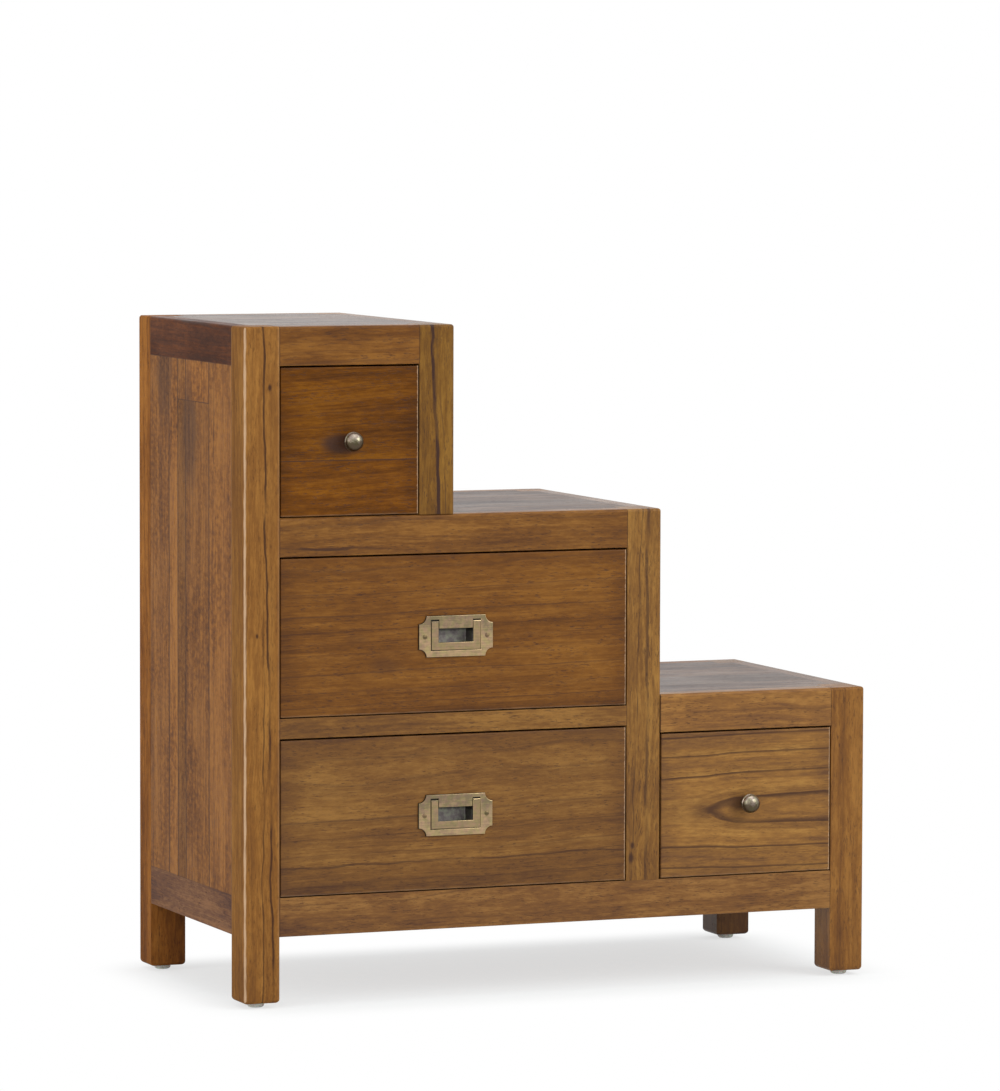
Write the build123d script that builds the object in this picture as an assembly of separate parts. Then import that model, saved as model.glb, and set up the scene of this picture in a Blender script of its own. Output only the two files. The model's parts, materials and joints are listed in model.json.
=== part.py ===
from build123d import *
import math
import os

# A step chest: three treads over four inset drawers, in a frame of square posts and tenoned rails.
# Millimetres. +X is right, +Y is the back, +Z is up. The front faces -Y.
# The origin is on the floor, under the middle of the box that the whole chest fills.

# ---------------------------------------------------------------- the chest as a whole
WIDTH = 800.0
DEPTH = 380.0                 # front face of the frame to its back face
LOW_TREAD_WIDTH = 270.0       # the low step, at the right
MIDDLE_TREAD_WIDTH = 267.0    # the middle step; the high step takes the rest
LOW_STEP_HEIGHT = 353.0       # tops of the steps above the floor
MIDDLE_STEP_HEIGHT = 576.5
HIGH_STEP_HEIGHT = 800.0
LEG_CLEARANCE = 84.0          # floor to the underside of the bottom rails
LOWER_OPENING = 187.0         # height of the opening for the lower wide drawer

# ---------------------------------------------------------------- frame stock
POST = 44.0                   # square section of every post
RAIL_THICKNESS = 24.0
RAIL_HEIGHT = 46.0
DIVIDER_HEIGHT = 24.0         # the slim rail between the two wide drawers
EDGE_ROUND = 3.5              # outer edges of the frame
ARRIS = 0.8                   # inner edges of the frame, beside the drawers
FOOT_ROUND = 5.0              # lower edges of the legs

# ---------------------------------------------------------------- panels and boards
PANEL_THICKNESS = 14.0        # flush side panels
BOARD_THICKNESS = 16.0        # treads
PLY_THICKNESS = 5.0           # back panels and drawer bottoms
BASE_THICKNESS = 8.0          # dust board under the lowest drawers
BASE_DROP = 6.0               # bottom rail top down to the dust board
BACK_INSET = 9.0              # back face of the frame to the back panels

# ---------------------------------------------------------------- joinery
TENON_LENGTH = 20.0
TENON_THICKNESS = 10.0
TENON_SHOULDER = 6.0          # above and below each tenon
TENON_GAP = 1.0               # glue room at the bottom of a mortise
STUB_LENGTH = 14.0            # tenons under the posts that stand on a rail
STUB_WIDTH = 26.0
TONGUE_LENGTH = 6.0
TONGUE_THICKNESS = 6.0
GROOVE_GAP = 0.5              # room for a tongue to swell
CROSS_TENON_LENGTH = 12.0     # tenons of the rail under the high riser, below the stub tenons
CUT_PAST = 1.0                # how far a cutter runs out past the face that it opens

# ---------------------------------------------------------------- drawers
FRONT_THICKNESS = 22.0
FRONT_SIDE_GAP = 1.5
FRONT_TOP_GAP = 2.0
FRONT_BOTTOM_GAP = 1.2
FRONT_ROUND = 1.5
DRAWER_BACK_ROOM = 40.0       # back end of the drawer sides to the back face of the frame
SIDE_THICKNESS = 14.0
SIDE_DROP = 10.0              # top of the front down to the top of the sides
LAP = 8.0                     # wood left in front of the dovetails
TAIL_COUNT = 4
PIN_WIDTH = 11.0              # wood between two tails, at their tips
TAIL_SLOPE = 1 / 7
BOTTOM_RAISE = 9.0            # lower edge of the sides up to the drawer bottom
DRAWER_BACK_THICKNESS = 12.0
DRAWER_BACK_INSET = 8.0       # back end of the sides to the drawer back
HOUSING = 4.0                 # depth of the housings for the drawer back

# ---------------------------------------------------------------- runners
RUNNER_THICKNESS = 8.0
RUNNER_HEIGHT = 16.0
RUNNER_RISE = 76.0            # bottom of an opening up to its runners
RUNNER_END = 22.0             # back face of the frame to the runners
RUNNER_SIDE_PLAY = 0.5
RUNNER_TOP_PLAY = 0.2
RUNNER_UNDER_PLAY = 0.8
STOP_PLAY = 0.3               # a shut drawer's front stops on the ends of its runners
RUNNER_SCREW_INSET = 10.0     # end of a runner to its screw
RUNNER_SCREW_LENGTH = 25.0

# ---------------------------------------------------------------- screws and glides
SCREW_SHANK = 1.5             # radii
SCREW_HEAD = 2.9
SCREW_HEAD_DEPTH = 1.6
SCREW_DOME = 0.5
SCREW_FIT = 0.05
SLOT_WIDTH = 0.8
SLOT_DEPTH = 0.9
GLIDE_RADIUS = 10.0
GLIDE_HEIGHT = 6.0
GLIDE_ROUND = 3.5
GLIDE_NAIL_RADIUS = 1.2
GLIDE_NAIL_LENGTH = 15.0

# ---------------------------------------------------------------- knobs, on the two small drawers
KNOB_PROJECTION = 24.0
KNOB_BASE_RADIUS = 7.0
KNOB_BASE_HEIGHT = 2.4
KNOB_WAIST_RADIUS = 4.6
KNOB_HEAD_RADIUS = 11.5
KNOB_BAND_START = 11.3        # front of the drawer to the straight band of the head
KNOB_BAND_HEIGHT = 2.7
KNOB_GROOVE = 1.1             # depth and width of the groove between the band and the dome
KNOB_STEP = 0.3               # dome's foot inside the band
KNOB_BEVEL = 0.7
KNOB_STUD_RADIUS = 2.0
KNOB_STUD_LENGTH = 16.0

# ---------------------------------------------------------------- flush pulls, on the two wide drawers
PLATE_WIDTH = 94.0
PLATE_HEIGHT = 49.0
PLATE_NOTCH = 9.5             # radius of the hollow corners
PLATE_PROUD = 2.2             # plate in front of the drawer
PLATE_LET_IN = 1.0            # plate let into the drawer
PLATE_ROUND = 0.7
PULL_DROP = 3.5               # middle of the drawer front down to the middle of the plate
BAIL_WIDTH = 62.4
BAIL_ARM = 9.1                # width of the arms and of the grip bar
BAIL_BOTTOM = 16.3            # middle of the plate down to the lower edge of the bail
BAIL_PROUD = 2.6
BAIL_THICKNESS = 3.3
BAIL_ROUND = 0.7
BAIL_GAP = 0.5                # round the bail, in the plate
BAIL_TOP_GAP = 1.2            # swinging room over the ends of the arms
HINGE_HEIGHT = 16.9           # middle of the plate up to the hinge axis
TRUNNION_RADIUS = 0.8
TRUNNION_LENGTH = 3.2
TRUNNION_FIT = 0.06
TONGUE_EDGE = 9.2             # middle of the plate up to the lower edge of its tongue
PAN_THICKNESS = 1.0
PAN_FLANGE = 4.5              # flange round the opening of the plate
PAN_MOUTH_TOP = 13.0          # middle of the plate up to the top of the cup
PAN_MOUTH_BOTTOM = 13.5
PAN_DEPTH = 16.5
PAN_TAPER = 7.0               # degrees
PAN_CORNER = 2.5
POCKET_FIT = 0.3
PULL_SCREW_SPACING = 79.0
PULL_SCREW_LENGTH = 16.0

# ---------------------------------------------------------------- lines that follow from the sizes
LEFT = -WIDTH / 2
RIGHT = WIDTH / 2
MIDDLE_RISER = RIGHT - LOW_TREAD_WIDTH
HIGH_RISER = MIDDLE_RISER - MIDDLE_TREAD_WIDTH
FRONT = (KNOB_PROJECTION - DEPTH) / 2
BACK = FRONT + DEPTH
LEG_END = GLIDE_HEIGHT
BASE_RAIL_TOP = LEG_CLEARANCE + RAIL_HEIGHT
DIVIDER_BOTTOM = BASE_RAIL_TOP + LOWER_OPENING
DIVIDER_TOP = DIVIDER_BOTTOM + DIVIDER_HEIGHT
BASE_BOARD_TOP = BASE_RAIL_TOP - BASE_DROP


# ================================================================ small helpers
def block(x, y, z):
    """A box between a low and a high value on each axis."""
    centre = [(low + high) / 2 for low, high in (x, y, z)]
    size = [high - low for low, high in (x, y, z)]
    return Pos(*centre) * Box(*size)


def widened(span, amount):
    return (span[0] - amount, span[1] + amount)


def centred(span, size):
    middle = (span[0] + span[1]) / 2
    return (middle - size / 2, middle + size / 2)


def edges_on(shape, x=None, y=None, z=None):
    """The edges of a shape that lie in every plane that is given."""
    found = []
    for edge in shape.edges():
        box = edge.bounding_box()
        spans = ((x, box.min.X, box.max.X), (y, box.min.Y, box.max.Y), (z, box.min.Z, box.max.Z))
        if all(at is None or max(abs(low - at), abs(high - at)) < 0.001 for at, low, high in spans):
            found.append(edge)
    return found


def cut(shape, cutters):
    """A shape less its cutters."""
    for cutter in cutters:
        shape = shape - cutter
    return shape


# ================================================================ posts
def post_blank(x, y, z):
    return block(x, y, z)


def rounded_post(x, y, z, outer_x, outer_y):
    """A post with its show edges rounded, and the lower edges too where it stands on the floor."""
    post = post_blank(x, y, z)
    inner_x = x[0] + x[1] - outer_x
    if z[0] == LEG_END:
        post = fillet(edges_on(post, z=z[0]), FOOT_ROUND)
    show = edges_on(post, x=outer_x, y=outer_y)
    show += edges_on(post, x=outer_x, z=z[1])
    show += edges_on(post, y=outer_y, z=z[1])
    post = fillet(show, EDGE_ROUND)
    inner = [e for e in edges_on(post, x=inner_x, y=outer_y) if e.length > POST]
    return fillet(inner, ARRIS)


LEFT_X = (LEFT, LEFT + POST)
UPPER_X = (HIGH_RISER - POST, HIGH_RISER)
MIDDLE_X = (MIDDLE_RISER - POST, MIDDLE_RISER)
RIGHT_X = (RIGHT - POST, RIGHT)
FRONT_Y = (FRONT, FRONT + POST)
BACK_Y = (BACK - POST, BACK)
BETWEEN_Y = (FRONT + POST, BACK - POST)
BOARD_Y = (FRONT + RAIL_THICKNESS, BACK - RAIL_THICKNESS)

POST_PLACES = {
    "left": (LEFT_X, (LEG_END, HIGH_STEP_HEIGHT), LEFT),
    "upper": (UPPER_X, (MIDDLE_STEP_HEIGHT, HIGH_STEP_HEIGHT), HIGH_RISER),
    "middle": (MIDDLE_X, (BASE_RAIL_TOP, MIDDLE_STEP_HEIGHT), MIDDLE_RISER),
    "right": (RIGHT_X, (LEG_END, LOW_STEP_HEIGHT), RIGHT),
}
ROWS = {"front": (FRONT_Y, FRONT), "back": (BACK_Y, BACK)}


def row_rail_y(row):
    """The depth that the rails of the front or the back row take up."""
    if row == "front":
        return (FRONT, FRONT + RAIL_THICKNESS)
    return (BACK - RAIL_THICKNESS, BACK)


def stub_tenon(x, row, z_top, gap):
    """The tenon under a post that stands on a rail, or with a gap its mortise."""
    y = centred(row_rail_y(row), TENON_THICKNESS)
    return block(centred(x, STUB_WIDTH), y, (z_top - STUB_LENGTH - gap, z_top))


# ================================================================ rails
def tenoned_rail(x, y, z, along, length=TENON_LENGTH, top_shoulder=TENON_SHOULDER):
    """A rail with a tenon on each end, and the cutter of the two mortises."""
    tenon_z = (z[0] + TENON_SHOULDER, z[1] - top_shoulder)
    solids = []
    for reach in (length, length + TENON_GAP):
        if along == "X":
            solids.append(block(widened(x, reach), centred(y, TENON_THICKNESS), tenon_z))
        else:
            solids.append(block(centred(x, TENON_THICKNESS), widened(y, reach), tenon_z))
    tenons, mortises = solids
    return block(x, y, z), tenons, mortises


def row_rail(row, left_post, right_post, z, top_edge):
    """A front or back rail. Where its top is a step's edge, the outer top edge is rounded like the posts."""
    x = (POST_PLACES[left_post][0][1], POST_PLACES[right_post][0][0])
    outer_y = ROWS[row][1]
    body, tenons, mortises = tenoned_rail(x, row_rail_y(row), z, "X")
    body = fillet(edges_on(body, y=outer_y, z=z[1]), EDGE_ROUND if top_edge else ARRIS)
    body = fillet(edges_on(body, y=outer_y, z=z[0]), ARRIS)
    return body + tenons, mortises


def side_rail(outer_x, inward, z, top_edge):
    """A rail from front to back, flush with the outer face at outer_x."""
    x = tuple(sorted((outer_x, outer_x + inward * RAIL_THICKNESS)))
    body, tenons, mortises = tenoned_rail(x, BETWEEN_Y, z, "Y")
    if top_edge:
        body = fillet(edges_on(body, x=outer_x, z=z[1]), EDGE_ROUND)
    return body + tenons, mortises


def step_rail_z(height):
    return (height - RAIL_HEIGHT, height)


def cross_rail():
    """The rail under the high riser, from the front step rail to the back one."""
    x = (HIGH_RISER - RAIL_THICKNESS, HIGH_RISER)
    z = step_rail_z(MIDDLE_STEP_HEIGHT)
    body, tenons, mortises = tenoned_rail(x, BOARD_Y, z, "Y", CROSS_TENON_LENGTH, STUB_LENGTH + TENON_SHOULDER)
    return body + tenons, mortises


BASE_RAIL_Z = (LEG_CLEARANCE, BASE_RAIL_TOP)

ROW_RAILS = {
    "top": ("left", "upper", step_rail_z(HIGH_STEP_HEIGHT), True),
    "step": ("left", "middle", step_rail_z(MIDDLE_STEP_HEIGHT), True),
    "low": ("middle", "right", step_rail_z(LOW_STEP_HEIGHT), True),
    "base": ("left", "right", BASE_RAIL_Z, False),
}
SIDE_RAILS = {
    "left_side_rails": (
        (LEFT, 1, step_rail_z(HIGH_STEP_HEIGHT), True),
        (LEFT, 1, BASE_RAIL_Z, False),
    ),
    "riser_rails": (
        (HIGH_RISER, -1, step_rail_z(HIGH_STEP_HEIGHT), True),
        (MIDDLE_RISER, -1, step_rail_z(MIDDLE_STEP_HEIGHT), True),
        (RIGHT, -1, step_rail_z(LOW_STEP_HEIGHT), True),
        (RIGHT, -1, BASE_RAIL_Z, False),
    ),
}


# ================================================================ panels and boards
def grown(spans, thin, thickness, by, bare):
    """A panel's box at the given thickness, grown by a reach on each edge that isn't bare."""
    out = {}
    for axis, span in spans.items():
        low_reach = 0 if "-" + axis in bare else by
        high_reach = 0 if "+" + axis in bare else by
        out[axis] = (span[0] - low_reach, span[1] + high_reach)
    out[thin] = centred(spans[thin], thickness)
    return block(out["X"], out["Y"], out["Z"])


def tongued_panel(x, y, z, thin, bare=()):
    """A solid panel with a tongue on each edge that isn't bare, and the cutter of its grooves."""
    spans = {"X": x, "Y": y, "Z": z}
    tongue = grown(spans, thin, TONGUE_THICKNESS, TONGUE_LENGTH, bare)
    groove = grown(spans, thin, TONGUE_THICKNESS, TONGUE_LENGTH + GROOVE_GAP, bare)
    return block(x, y, z) + tongue, groove


def slotted_panel(x, y, z, thin, thickness):
    """A thin sheet whose edges go into grooves at its full thickness, and the cutter of the grooves."""
    spans = {"X": x, "Y": y, "Z": z}
    sheet = grown(spans, thin, thickness, TONGUE_LENGTH, ())
    groove = grown(spans, thin, thickness, TONGUE_LENGTH + GROOVE_GAP, ())
    return sheet, groove


def build_carcass():
    """The frame with its panels, boards and back: {node: [solids]}."""
    nodes = {}
    blanks = {}
    stubs = {}
    posts = {}
    for row, (y, outer_y) in ROWS.items():
        for place, (x, z, outer_x) in POST_PLACES.items():
            name = f"post_{row}_{place}"
            blanks[name] = post_blank(x, y, z)
            posts[name] = rounded_post(x, y, z, outer_x, outer_y)
            if z[0] != LEG_END:
                posts[name] = posts[name] + stub_tenon(x, row, z[0], 0)
                stubs[name] = stub_tenon(x, row, z[0], TENON_GAP)

    rails = {}
    mortises = []
    for row in ROWS:
        for place, (left_post, right_post, z, top_edge) in ROW_RAILS.items():
            rail, mortise = row_rail(row, left_post, right_post, z, top_edge)
            rails[f"rail_{row}_{place}"] = [rail]
            mortises.append(mortise)
    rail, mortise = row_rail("front", "left", "middle", (DIVIDER_BOTTOM, DIVIDER_TOP), False)
    rails["rail_front_divider"] = [rail]
    mortises.append(mortise)
    for name, places in SIDE_RAILS.items():
        rails[name] = []
        for outer_x, inward, z, top_edge in places:
            rail, mortise = side_rail(outer_x, inward, z, top_edge)
            rails[name].append(rail)
            mortises.append(mortise)
    cross, cross_mortises = cross_rail()

    # Side panels stand between posts and rails. The partition ends on the dust board, with no tongue there.
    panels = {}
    grooves = []
    side_panels = {
        "panel_left": (LEFT, LEFT + PANEL_THICKNESS, BASE_RAIL_TOP, HIGH_STEP_HEIGHT, ()),
        "panel_upper_riser": (HIGH_RISER - PANEL_THICKNESS, HIGH_RISER, MIDDLE_STEP_HEIGHT, HIGH_STEP_HEIGHT, ()),
        "panel_partition": (
            MIDDLE_RISER - PANEL_THICKNESS, MIDDLE_RISER, BASE_BOARD_TOP, MIDDLE_STEP_HEIGHT, ("-Z",)
        ),
        "panel_right": (RIGHT - PANEL_THICKNESS, RIGHT, BASE_RAIL_TOP, LOW_STEP_HEIGHT, ()),
    }
    for name, (x0, x1, z0, step, bare) in side_panels.items():
        z = (z0, step - RAIL_HEIGHT)
        panels[name], groove = tongued_panel((x0, x1), BETWEEN_Y, z, "X", bare)
        grooves.append(groove)

    back_y = (BACK - BACK_INSET - PLY_THICKNESS, BACK - BACK_INSET)
    back_panels = {
        "back_panel_high": (LEFT_X[1], UPPER_X[0], MIDDLE_STEP_HEIGHT, HIGH_STEP_HEIGHT),
        "back_panel_wide": (LEFT_X[1], MIDDLE_X[0], BASE_RAIL_TOP, MIDDLE_STEP_HEIGHT),
        "back_panel_low": (MIDDLE_X[1], RIGHT_X[0], BASE_RAIL_TOP, LOW_STEP_HEIGHT),
    }
    for name, (x0, x1, z0, step) in back_panels.items():
        z = (z0, step - RAIL_HEIGHT)
        panels[name], groove = slotted_panel((x0, x1), back_y, z, "Y", PLY_THICKNESS)
        grooves.append(groove)

    # Boards lie between the rails, notched round the posts. Their grooves are in rails and side panels only.
    # The middle tread butts on the cross rail, where the high riser's tongue leaves no room for its own.
    boards = {}
    board_grooves = []
    board_places = {
        "step_board_high": (LEFT + RAIL_THICKNESS, HIGH_RISER - RAIL_THICKNESS, HIGH_STEP_HEIGHT, ()),
        "step_board_middle": (HIGH_RISER, MIDDLE_RISER - RAIL_THICKNESS, MIDDLE_STEP_HEIGHT, ("-X",)),
        "step_board_low": (MIDDLE_RISER, RIGHT - RAIL_THICKNESS, LOW_STEP_HEIGHT, ()),
        "deck_board": (LEFT + PANEL_THICKNESS, HIGH_RISER - RAIL_THICKNESS, MIDDLE_STEP_HEIGHT, ()),
    }
    for name, (x0, x1, top, bare) in board_places.items():
        board, groove = tongued_panel((x0, x1), BOARD_Y, (top - BOARD_THICKNESS, top), "Z", bare)
        boards[name] = board
        board_grooves.append(groove)
    base_x = (LEFT + RAIL_THICKNESS, RIGHT - RAIL_THICKNESS)
    base_z = (BASE_BOARD_TOP - BASE_THICKNESS, BASE_BOARD_TOP)
    boards["dust_board"], groove = slotted_panel(base_x, BOARD_Y, base_z, "Z", BASE_THICKNESS)
    board_grooves.append(groove)

    for name, post in posts.items():
        nodes[name] = [cut(post, mortises + grooves)]
    for name, group in rails.items():
        receives = grooves + board_grooves + list(stubs.values())
        if name.startswith("rail_"):
            receives.append(cross_mortises)
        nodes[name] = [cut(rail, receives) for rail in group]
    nodes["riser_rails"].append(cut(cross, grooves + board_grooves))
    for name, panel in panels.items():
        nodes[name] = [cut(panel, board_grooves)]
    for name, board in boards.items():
        nodes[name] = [cut(board, list(blanks.values()) + grooves)]
    return nodes


# ================================================================ drawer openings
OPENINGS = {
    "top_drawer": (
        (LEFT_X[1], UPPER_X[0]),
        (MIDDLE_STEP_HEIGHT, HIGH_STEP_HEIGHT - RAIL_HEIGHT),
        "knob",
    ),
    "upper_drawer": (
        (LEFT_X[1], MIDDLE_X[0]),
        (DIVIDER_TOP, MIDDLE_STEP_HEIGHT - RAIL_HEIGHT),
        "pull",
    ),
    "lower_drawer": (
        (LEFT_X[1], MIDDLE_X[0]),
        (BASE_RAIL_TOP, DIVIDER_BOTTOM),
        "pull",
    ),
    "low_drawer": (
        (MIDDLE_X[1], RIGHT_X[0]),
        (BASE_RAIL_TOP, LOW_STEP_HEIGHT - RAIL_HEIGHT),
        "knob",
    ),
}
RUNNER_Y = (FRONT + FRONT_THICKNESS + STOP_PLAY, BACK - RUNNER_END)


def runner_z(opening_z):
    return (opening_z[0] + RUNNER_RISE, opening_z[0] + RUNNER_RISE + RUNNER_HEIGHT)


# ================================================================ screws
def countersunk_screw(length, dome):
    """A screw along +Z with its countersunk head at z = 0, and the cutter of its hole."""
    seat = [(0, 0), (SCREW_HEAD, 0), (SCREW_SHANK, -SCREW_HEAD_DEPTH), (SCREW_SHANK, -length), (0, -length)]
    screw = revolve(Plane.XZ * Polygon(*seat, align=None), Axis.Z)
    if dome:
        radius = (SCREW_HEAD**2 + SCREW_DOME**2) / (2 * SCREW_DOME)
        cap = Pos(0, 0, SCREW_DOME - radius) * Sphere(radius)
        cap = cap & Pos(0, 0, SCREW_DOME / 2) * Box(3 * SCREW_HEAD, 3 * SCREW_HEAD, SCREW_DOME)
        slot = Pos(0, 0, SCREW_DOME - SLOT_DEPTH / 2) * Box(3 * SCREW_HEAD, SLOT_WIDTH, SLOT_DEPTH)
        screw = screw + cap - slot
    head = SCREW_HEAD + SCREW_FIT
    shank = SCREW_SHANK + SCREW_FIT
    end = -length - SCREW_FIT
    wall = [(0, 0), (head, 0), (shank, -SCREW_HEAD_DEPTH), (shank, end), (0, end)]
    hole = revolve(Plane.XZ * Polygon(*wall, align=None), Axis.Z)
    return screw, hole


def build_runners(carcass):
    """The strips that the drawers run on, their screws, and the posts drilled for them."""
    runners = []
    screws = []
    holes = []
    screw, hole = countersunk_screw(RUNNER_SCREW_LENGTH, False)
    screw_y = (RUNNER_Y[0] + RUNNER_SCREW_INSET, RUNNER_Y[1] - RUNNER_SCREW_INSET)
    for x, z, _ in OPENINGS.values():
        middle_z = sum(runner_z(z)) / 2
        sides = ((x[0], x[0] + RUNNER_THICKNESS, 90), (x[1], x[1] - RUNNER_THICKNESS, -90))
        for wall_x, face_x, turn in sides:
            runner = block(tuple(sorted((wall_x, face_x))), RUNNER_Y, runner_z(z))
            for y in screw_y:
                place = Pos(face_x, y, middle_z) * Rot(0, turn, 0)
                runner = runner - place * hole
                screws.append(place * screw)
                holes.append(place * hole)
            runners.append(runner)
    for name in carcass:
        if name.startswith("post_"):
            carcass[name] = [cut(carcass[name][0], holes)]
    carcass["drawer_runners"] = runners
    carcass["runner_screws"] = screws


def build_glides(carcass):
    """A nylon glide nailed under each leg."""
    glides = []
    foot = Pos(0, 0, GLIDE_HEIGHT / 2) * Cylinder(GLIDE_RADIUS, GLIDE_HEIGHT)
    foot = fillet(foot.edges().filter_by(GeomType.CIRCLE).group_by(Axis.Z)[0], GLIDE_ROUND)
    nail_top = LEG_END + GLIDE_NAIL_LENGTH
    nail_middle = (LEG_END + nail_top) / 2
    glide = foot + Pos(0, 0, nail_middle) * Cylinder(GLIDE_NAIL_RADIUS, GLIDE_NAIL_LENGTH)
    hole_radius = GLIDE_NAIL_RADIUS + SCREW_FIT
    hole = Pos(0, 0, nail_middle) * Cylinder(hole_radius, GLIDE_NAIL_LENGTH + 2 * SCREW_FIT)
    for row, (y, _) in ROWS.items():
        for place, x in (("left", LEFT_X), ("right", RIGHT_X)):
            spot = Pos(sum(x) / 2, sum(y) / 2, 0)
            glides.append(spot * glide)
            name = f"post_{row}_{place}"
            carcass[name] = [cut(carcass[name][0], [spot * hole])]
    carcass["glides"] = glides


# ================================================================ knob
def build_knob(place):
    """A turned mushroom knob with a stud, and the cutter of the stud's hole. Height runs out of the drawer."""
    band_end = KNOB_BAND_START + KNOB_BAND_HEIGHT
    dome_radius_at_foot = KNOB_HEAD_RADIUS - KNOB_STEP
    dome_foot = band_end + KNOB_GROOVE
    dome_rise = KNOB_PROJECTION - dome_foot
    sphere = (dome_radius_at_foot**2 + dome_rise**2) / (2 * dome_rise)
    half_angle = math.atan2(dome_radius_at_foot, sphere - dome_rise) / 2
    dome_middle = (sphere * math.sin(half_angle), KNOB_PROJECTION - sphere + sphere * math.cos(half_angle))
    under_head = KNOB_BAND_START - KNOB_BEVEL
    flare = KNOB_HEAD_RADIUS - KNOB_BEVEL
    base_top = KNOB_BASE_RADIUS - KNOB_BEVEL
    waist_height = (KNOB_BASE_HEIGHT + under_head) / 2
    rim = [
        (0, -KNOB_STUD_LENGTH),
        (KNOB_STUD_RADIUS, -KNOB_STUD_LENGTH),
        (KNOB_STUD_RADIUS, 0),
        (KNOB_BASE_RADIUS, 0),
        (KNOB_BASE_RADIUS, KNOB_BASE_HEIGHT - KNOB_BEVEL),
        (base_top, KNOB_BASE_HEIGHT),
    ]
    head = [
        (flare, under_head),
        (KNOB_HEAD_RADIUS, KNOB_BAND_START),
        (KNOB_HEAD_RADIUS, band_end - KNOB_BEVEL),
        (KNOB_HEAD_RADIUS - KNOB_BEVEL, band_end),
        (KNOB_HEAD_RADIUS - KNOB_GROOVE, band_end + KNOB_GROOVE / 2),
        (dome_radius_at_foot, dome_foot),
    ]
    outline = [
        Polyline(*rim),
        ThreePointArc(rim[-1], (KNOB_WAIST_RADIUS, waist_height), head[0]),
        Polyline(*head),
        ThreePointArc(head[-1], dome_middle, (0, KNOB_PROJECTION)),
        Line((0, KNOB_PROJECTION), rim[0]),
    ]
    knob = revolve(make_face(Curve() + outline), Axis.Y)
    hole_radius = KNOB_STUD_RADIUS + SCREW_FIT
    hole_length = KNOB_STUD_LENGTH + SCREW_FIT
    hole = Rot(90, 0, 0) * Pos(0, 0, hole_length / 2) * Cylinder(hole_radius, hole_length)
    outwards = place * Rot(0, 0, 180)
    return outwards * knob, outwards * hole


# ================================================================ flush pull
# Made at the origin in the plane of the drawer front: X across, Z up, and -Y out of the drawer.
def slab(sketch, y_out, y_in):
    """A sketch in X and Z, made solid from the outer to the inner depth."""
    return extrude(Plane.XZ.offset(-y_in) * sketch, amount=y_in - y_out)


def rect(x, z):
    return Pos(sum(x) / 2, sum(z) / 2) * Rectangle(x[1] - x[0], z[1] - z[0])


def plate_outline(grow):
    """The plate's outline with its hollow corners, grown by a clearance."""
    outline = Rectangle(PLATE_WIDTH + 2 * grow, PLATE_HEIGHT + 2 * grow)
    for side in (-1, 1):
        for end in (-1, 1):
            corner = Pos(side * PLATE_WIDTH / 2, end * PLATE_HEIGHT / 2)
            outline = outline - corner * Circle(PLATE_NOTCH - grow)
            outline = outline - corner * Rectangle(2 * grow + 0.001, 2 * grow + 0.001)
    return outline


BAIL_HALF = BAIL_WIDTH / 2
BAIL_FACE = -BAIL_PROUD
BAIL_REAR = BAIL_THICKNESS - BAIL_PROUD
BAIL_MIDDLE = (BAIL_FACE + BAIL_REAR) / 2
BARREL = BAIL_THICKNESS / 2
WINDOW_HALF = BAIL_HALF - BAIL_ARM
PLATE_OPENING_X = (-BAIL_HALF - BAIL_GAP, BAIL_HALF + BAIL_GAP)
PLATE_OPENING_Z = (-BAIL_BOTTOM - BAIL_GAP, HINGE_HEIGHT + BARREL + BAIL_TOP_GAP)
PAN_FLANGE_X = widened(PLATE_OPENING_X, PAN_FLANGE)
PAN_FLANGE_Z = widened(PLATE_OPENING_Z, PAN_FLANGE)
PAN_BACK = PLATE_LET_IN + PAN_THICKNESS


def trunnions(radius, start, end):
    """A short cylinder beyond each arm of the bail, on the hinge axis."""
    pins = []
    for side in (-1, 1):
        middle = side * (start + end) / 2
        pins.append(Pos(middle, BAIL_MIDDLE, HINGE_HEIGHT) * Rot(0, 90, 0) * Cylinder(radius, end - start))
    return pins


def build_plate(screw_hole):
    """The face plate, open round the bail, with a tongue between its arms and slots behind for the trunnions."""
    plate = slab(plate_outline(0), -PLATE_PROUD, PLATE_LET_IN)
    opening = rect(PLATE_OPENING_X, PLATE_OPENING_Z)
    tongue_x = widened((-WINDOW_HALF, WINDOW_HALF), -BAIL_GAP)
    opening = opening - rect(tongue_x, (TONGUE_EDGE, PLATE_HEIGHT))
    plate = plate - slab(opening, -PLATE_PROUD - CUT_PAST, PLATE_LET_IN + CUT_PAST)
    front_edges = edges_on(plate, y=-PLATE_PROUD)
    plate = fillet(front_edges, PLATE_ROUND)
    slot_radius = TRUNNION_RADIUS + TRUNNION_FIT
    slot_start = BAIL_HALF
    slot_end = BAIL_HALF + TRUNNION_LENGTH + BAIL_GAP
    for pin in trunnions(slot_radius, slot_start, slot_end):
        plate = plate - pin
    slot_z = (HINGE_HEIGHT - slot_radius, HINGE_HEIGHT + slot_radius)
    for x in ((-slot_end, -slot_start), (slot_start, slot_end)):
        plate = plate - block(x, (BAIL_MIDDLE, PLATE_LET_IN + CUT_PAST), slot_z)
    for side in (-1, 1):
        plate = plate - Pos(side * PULL_SCREW_SPACING / 2, 0, 0) * screw_hole
    return plate


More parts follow.
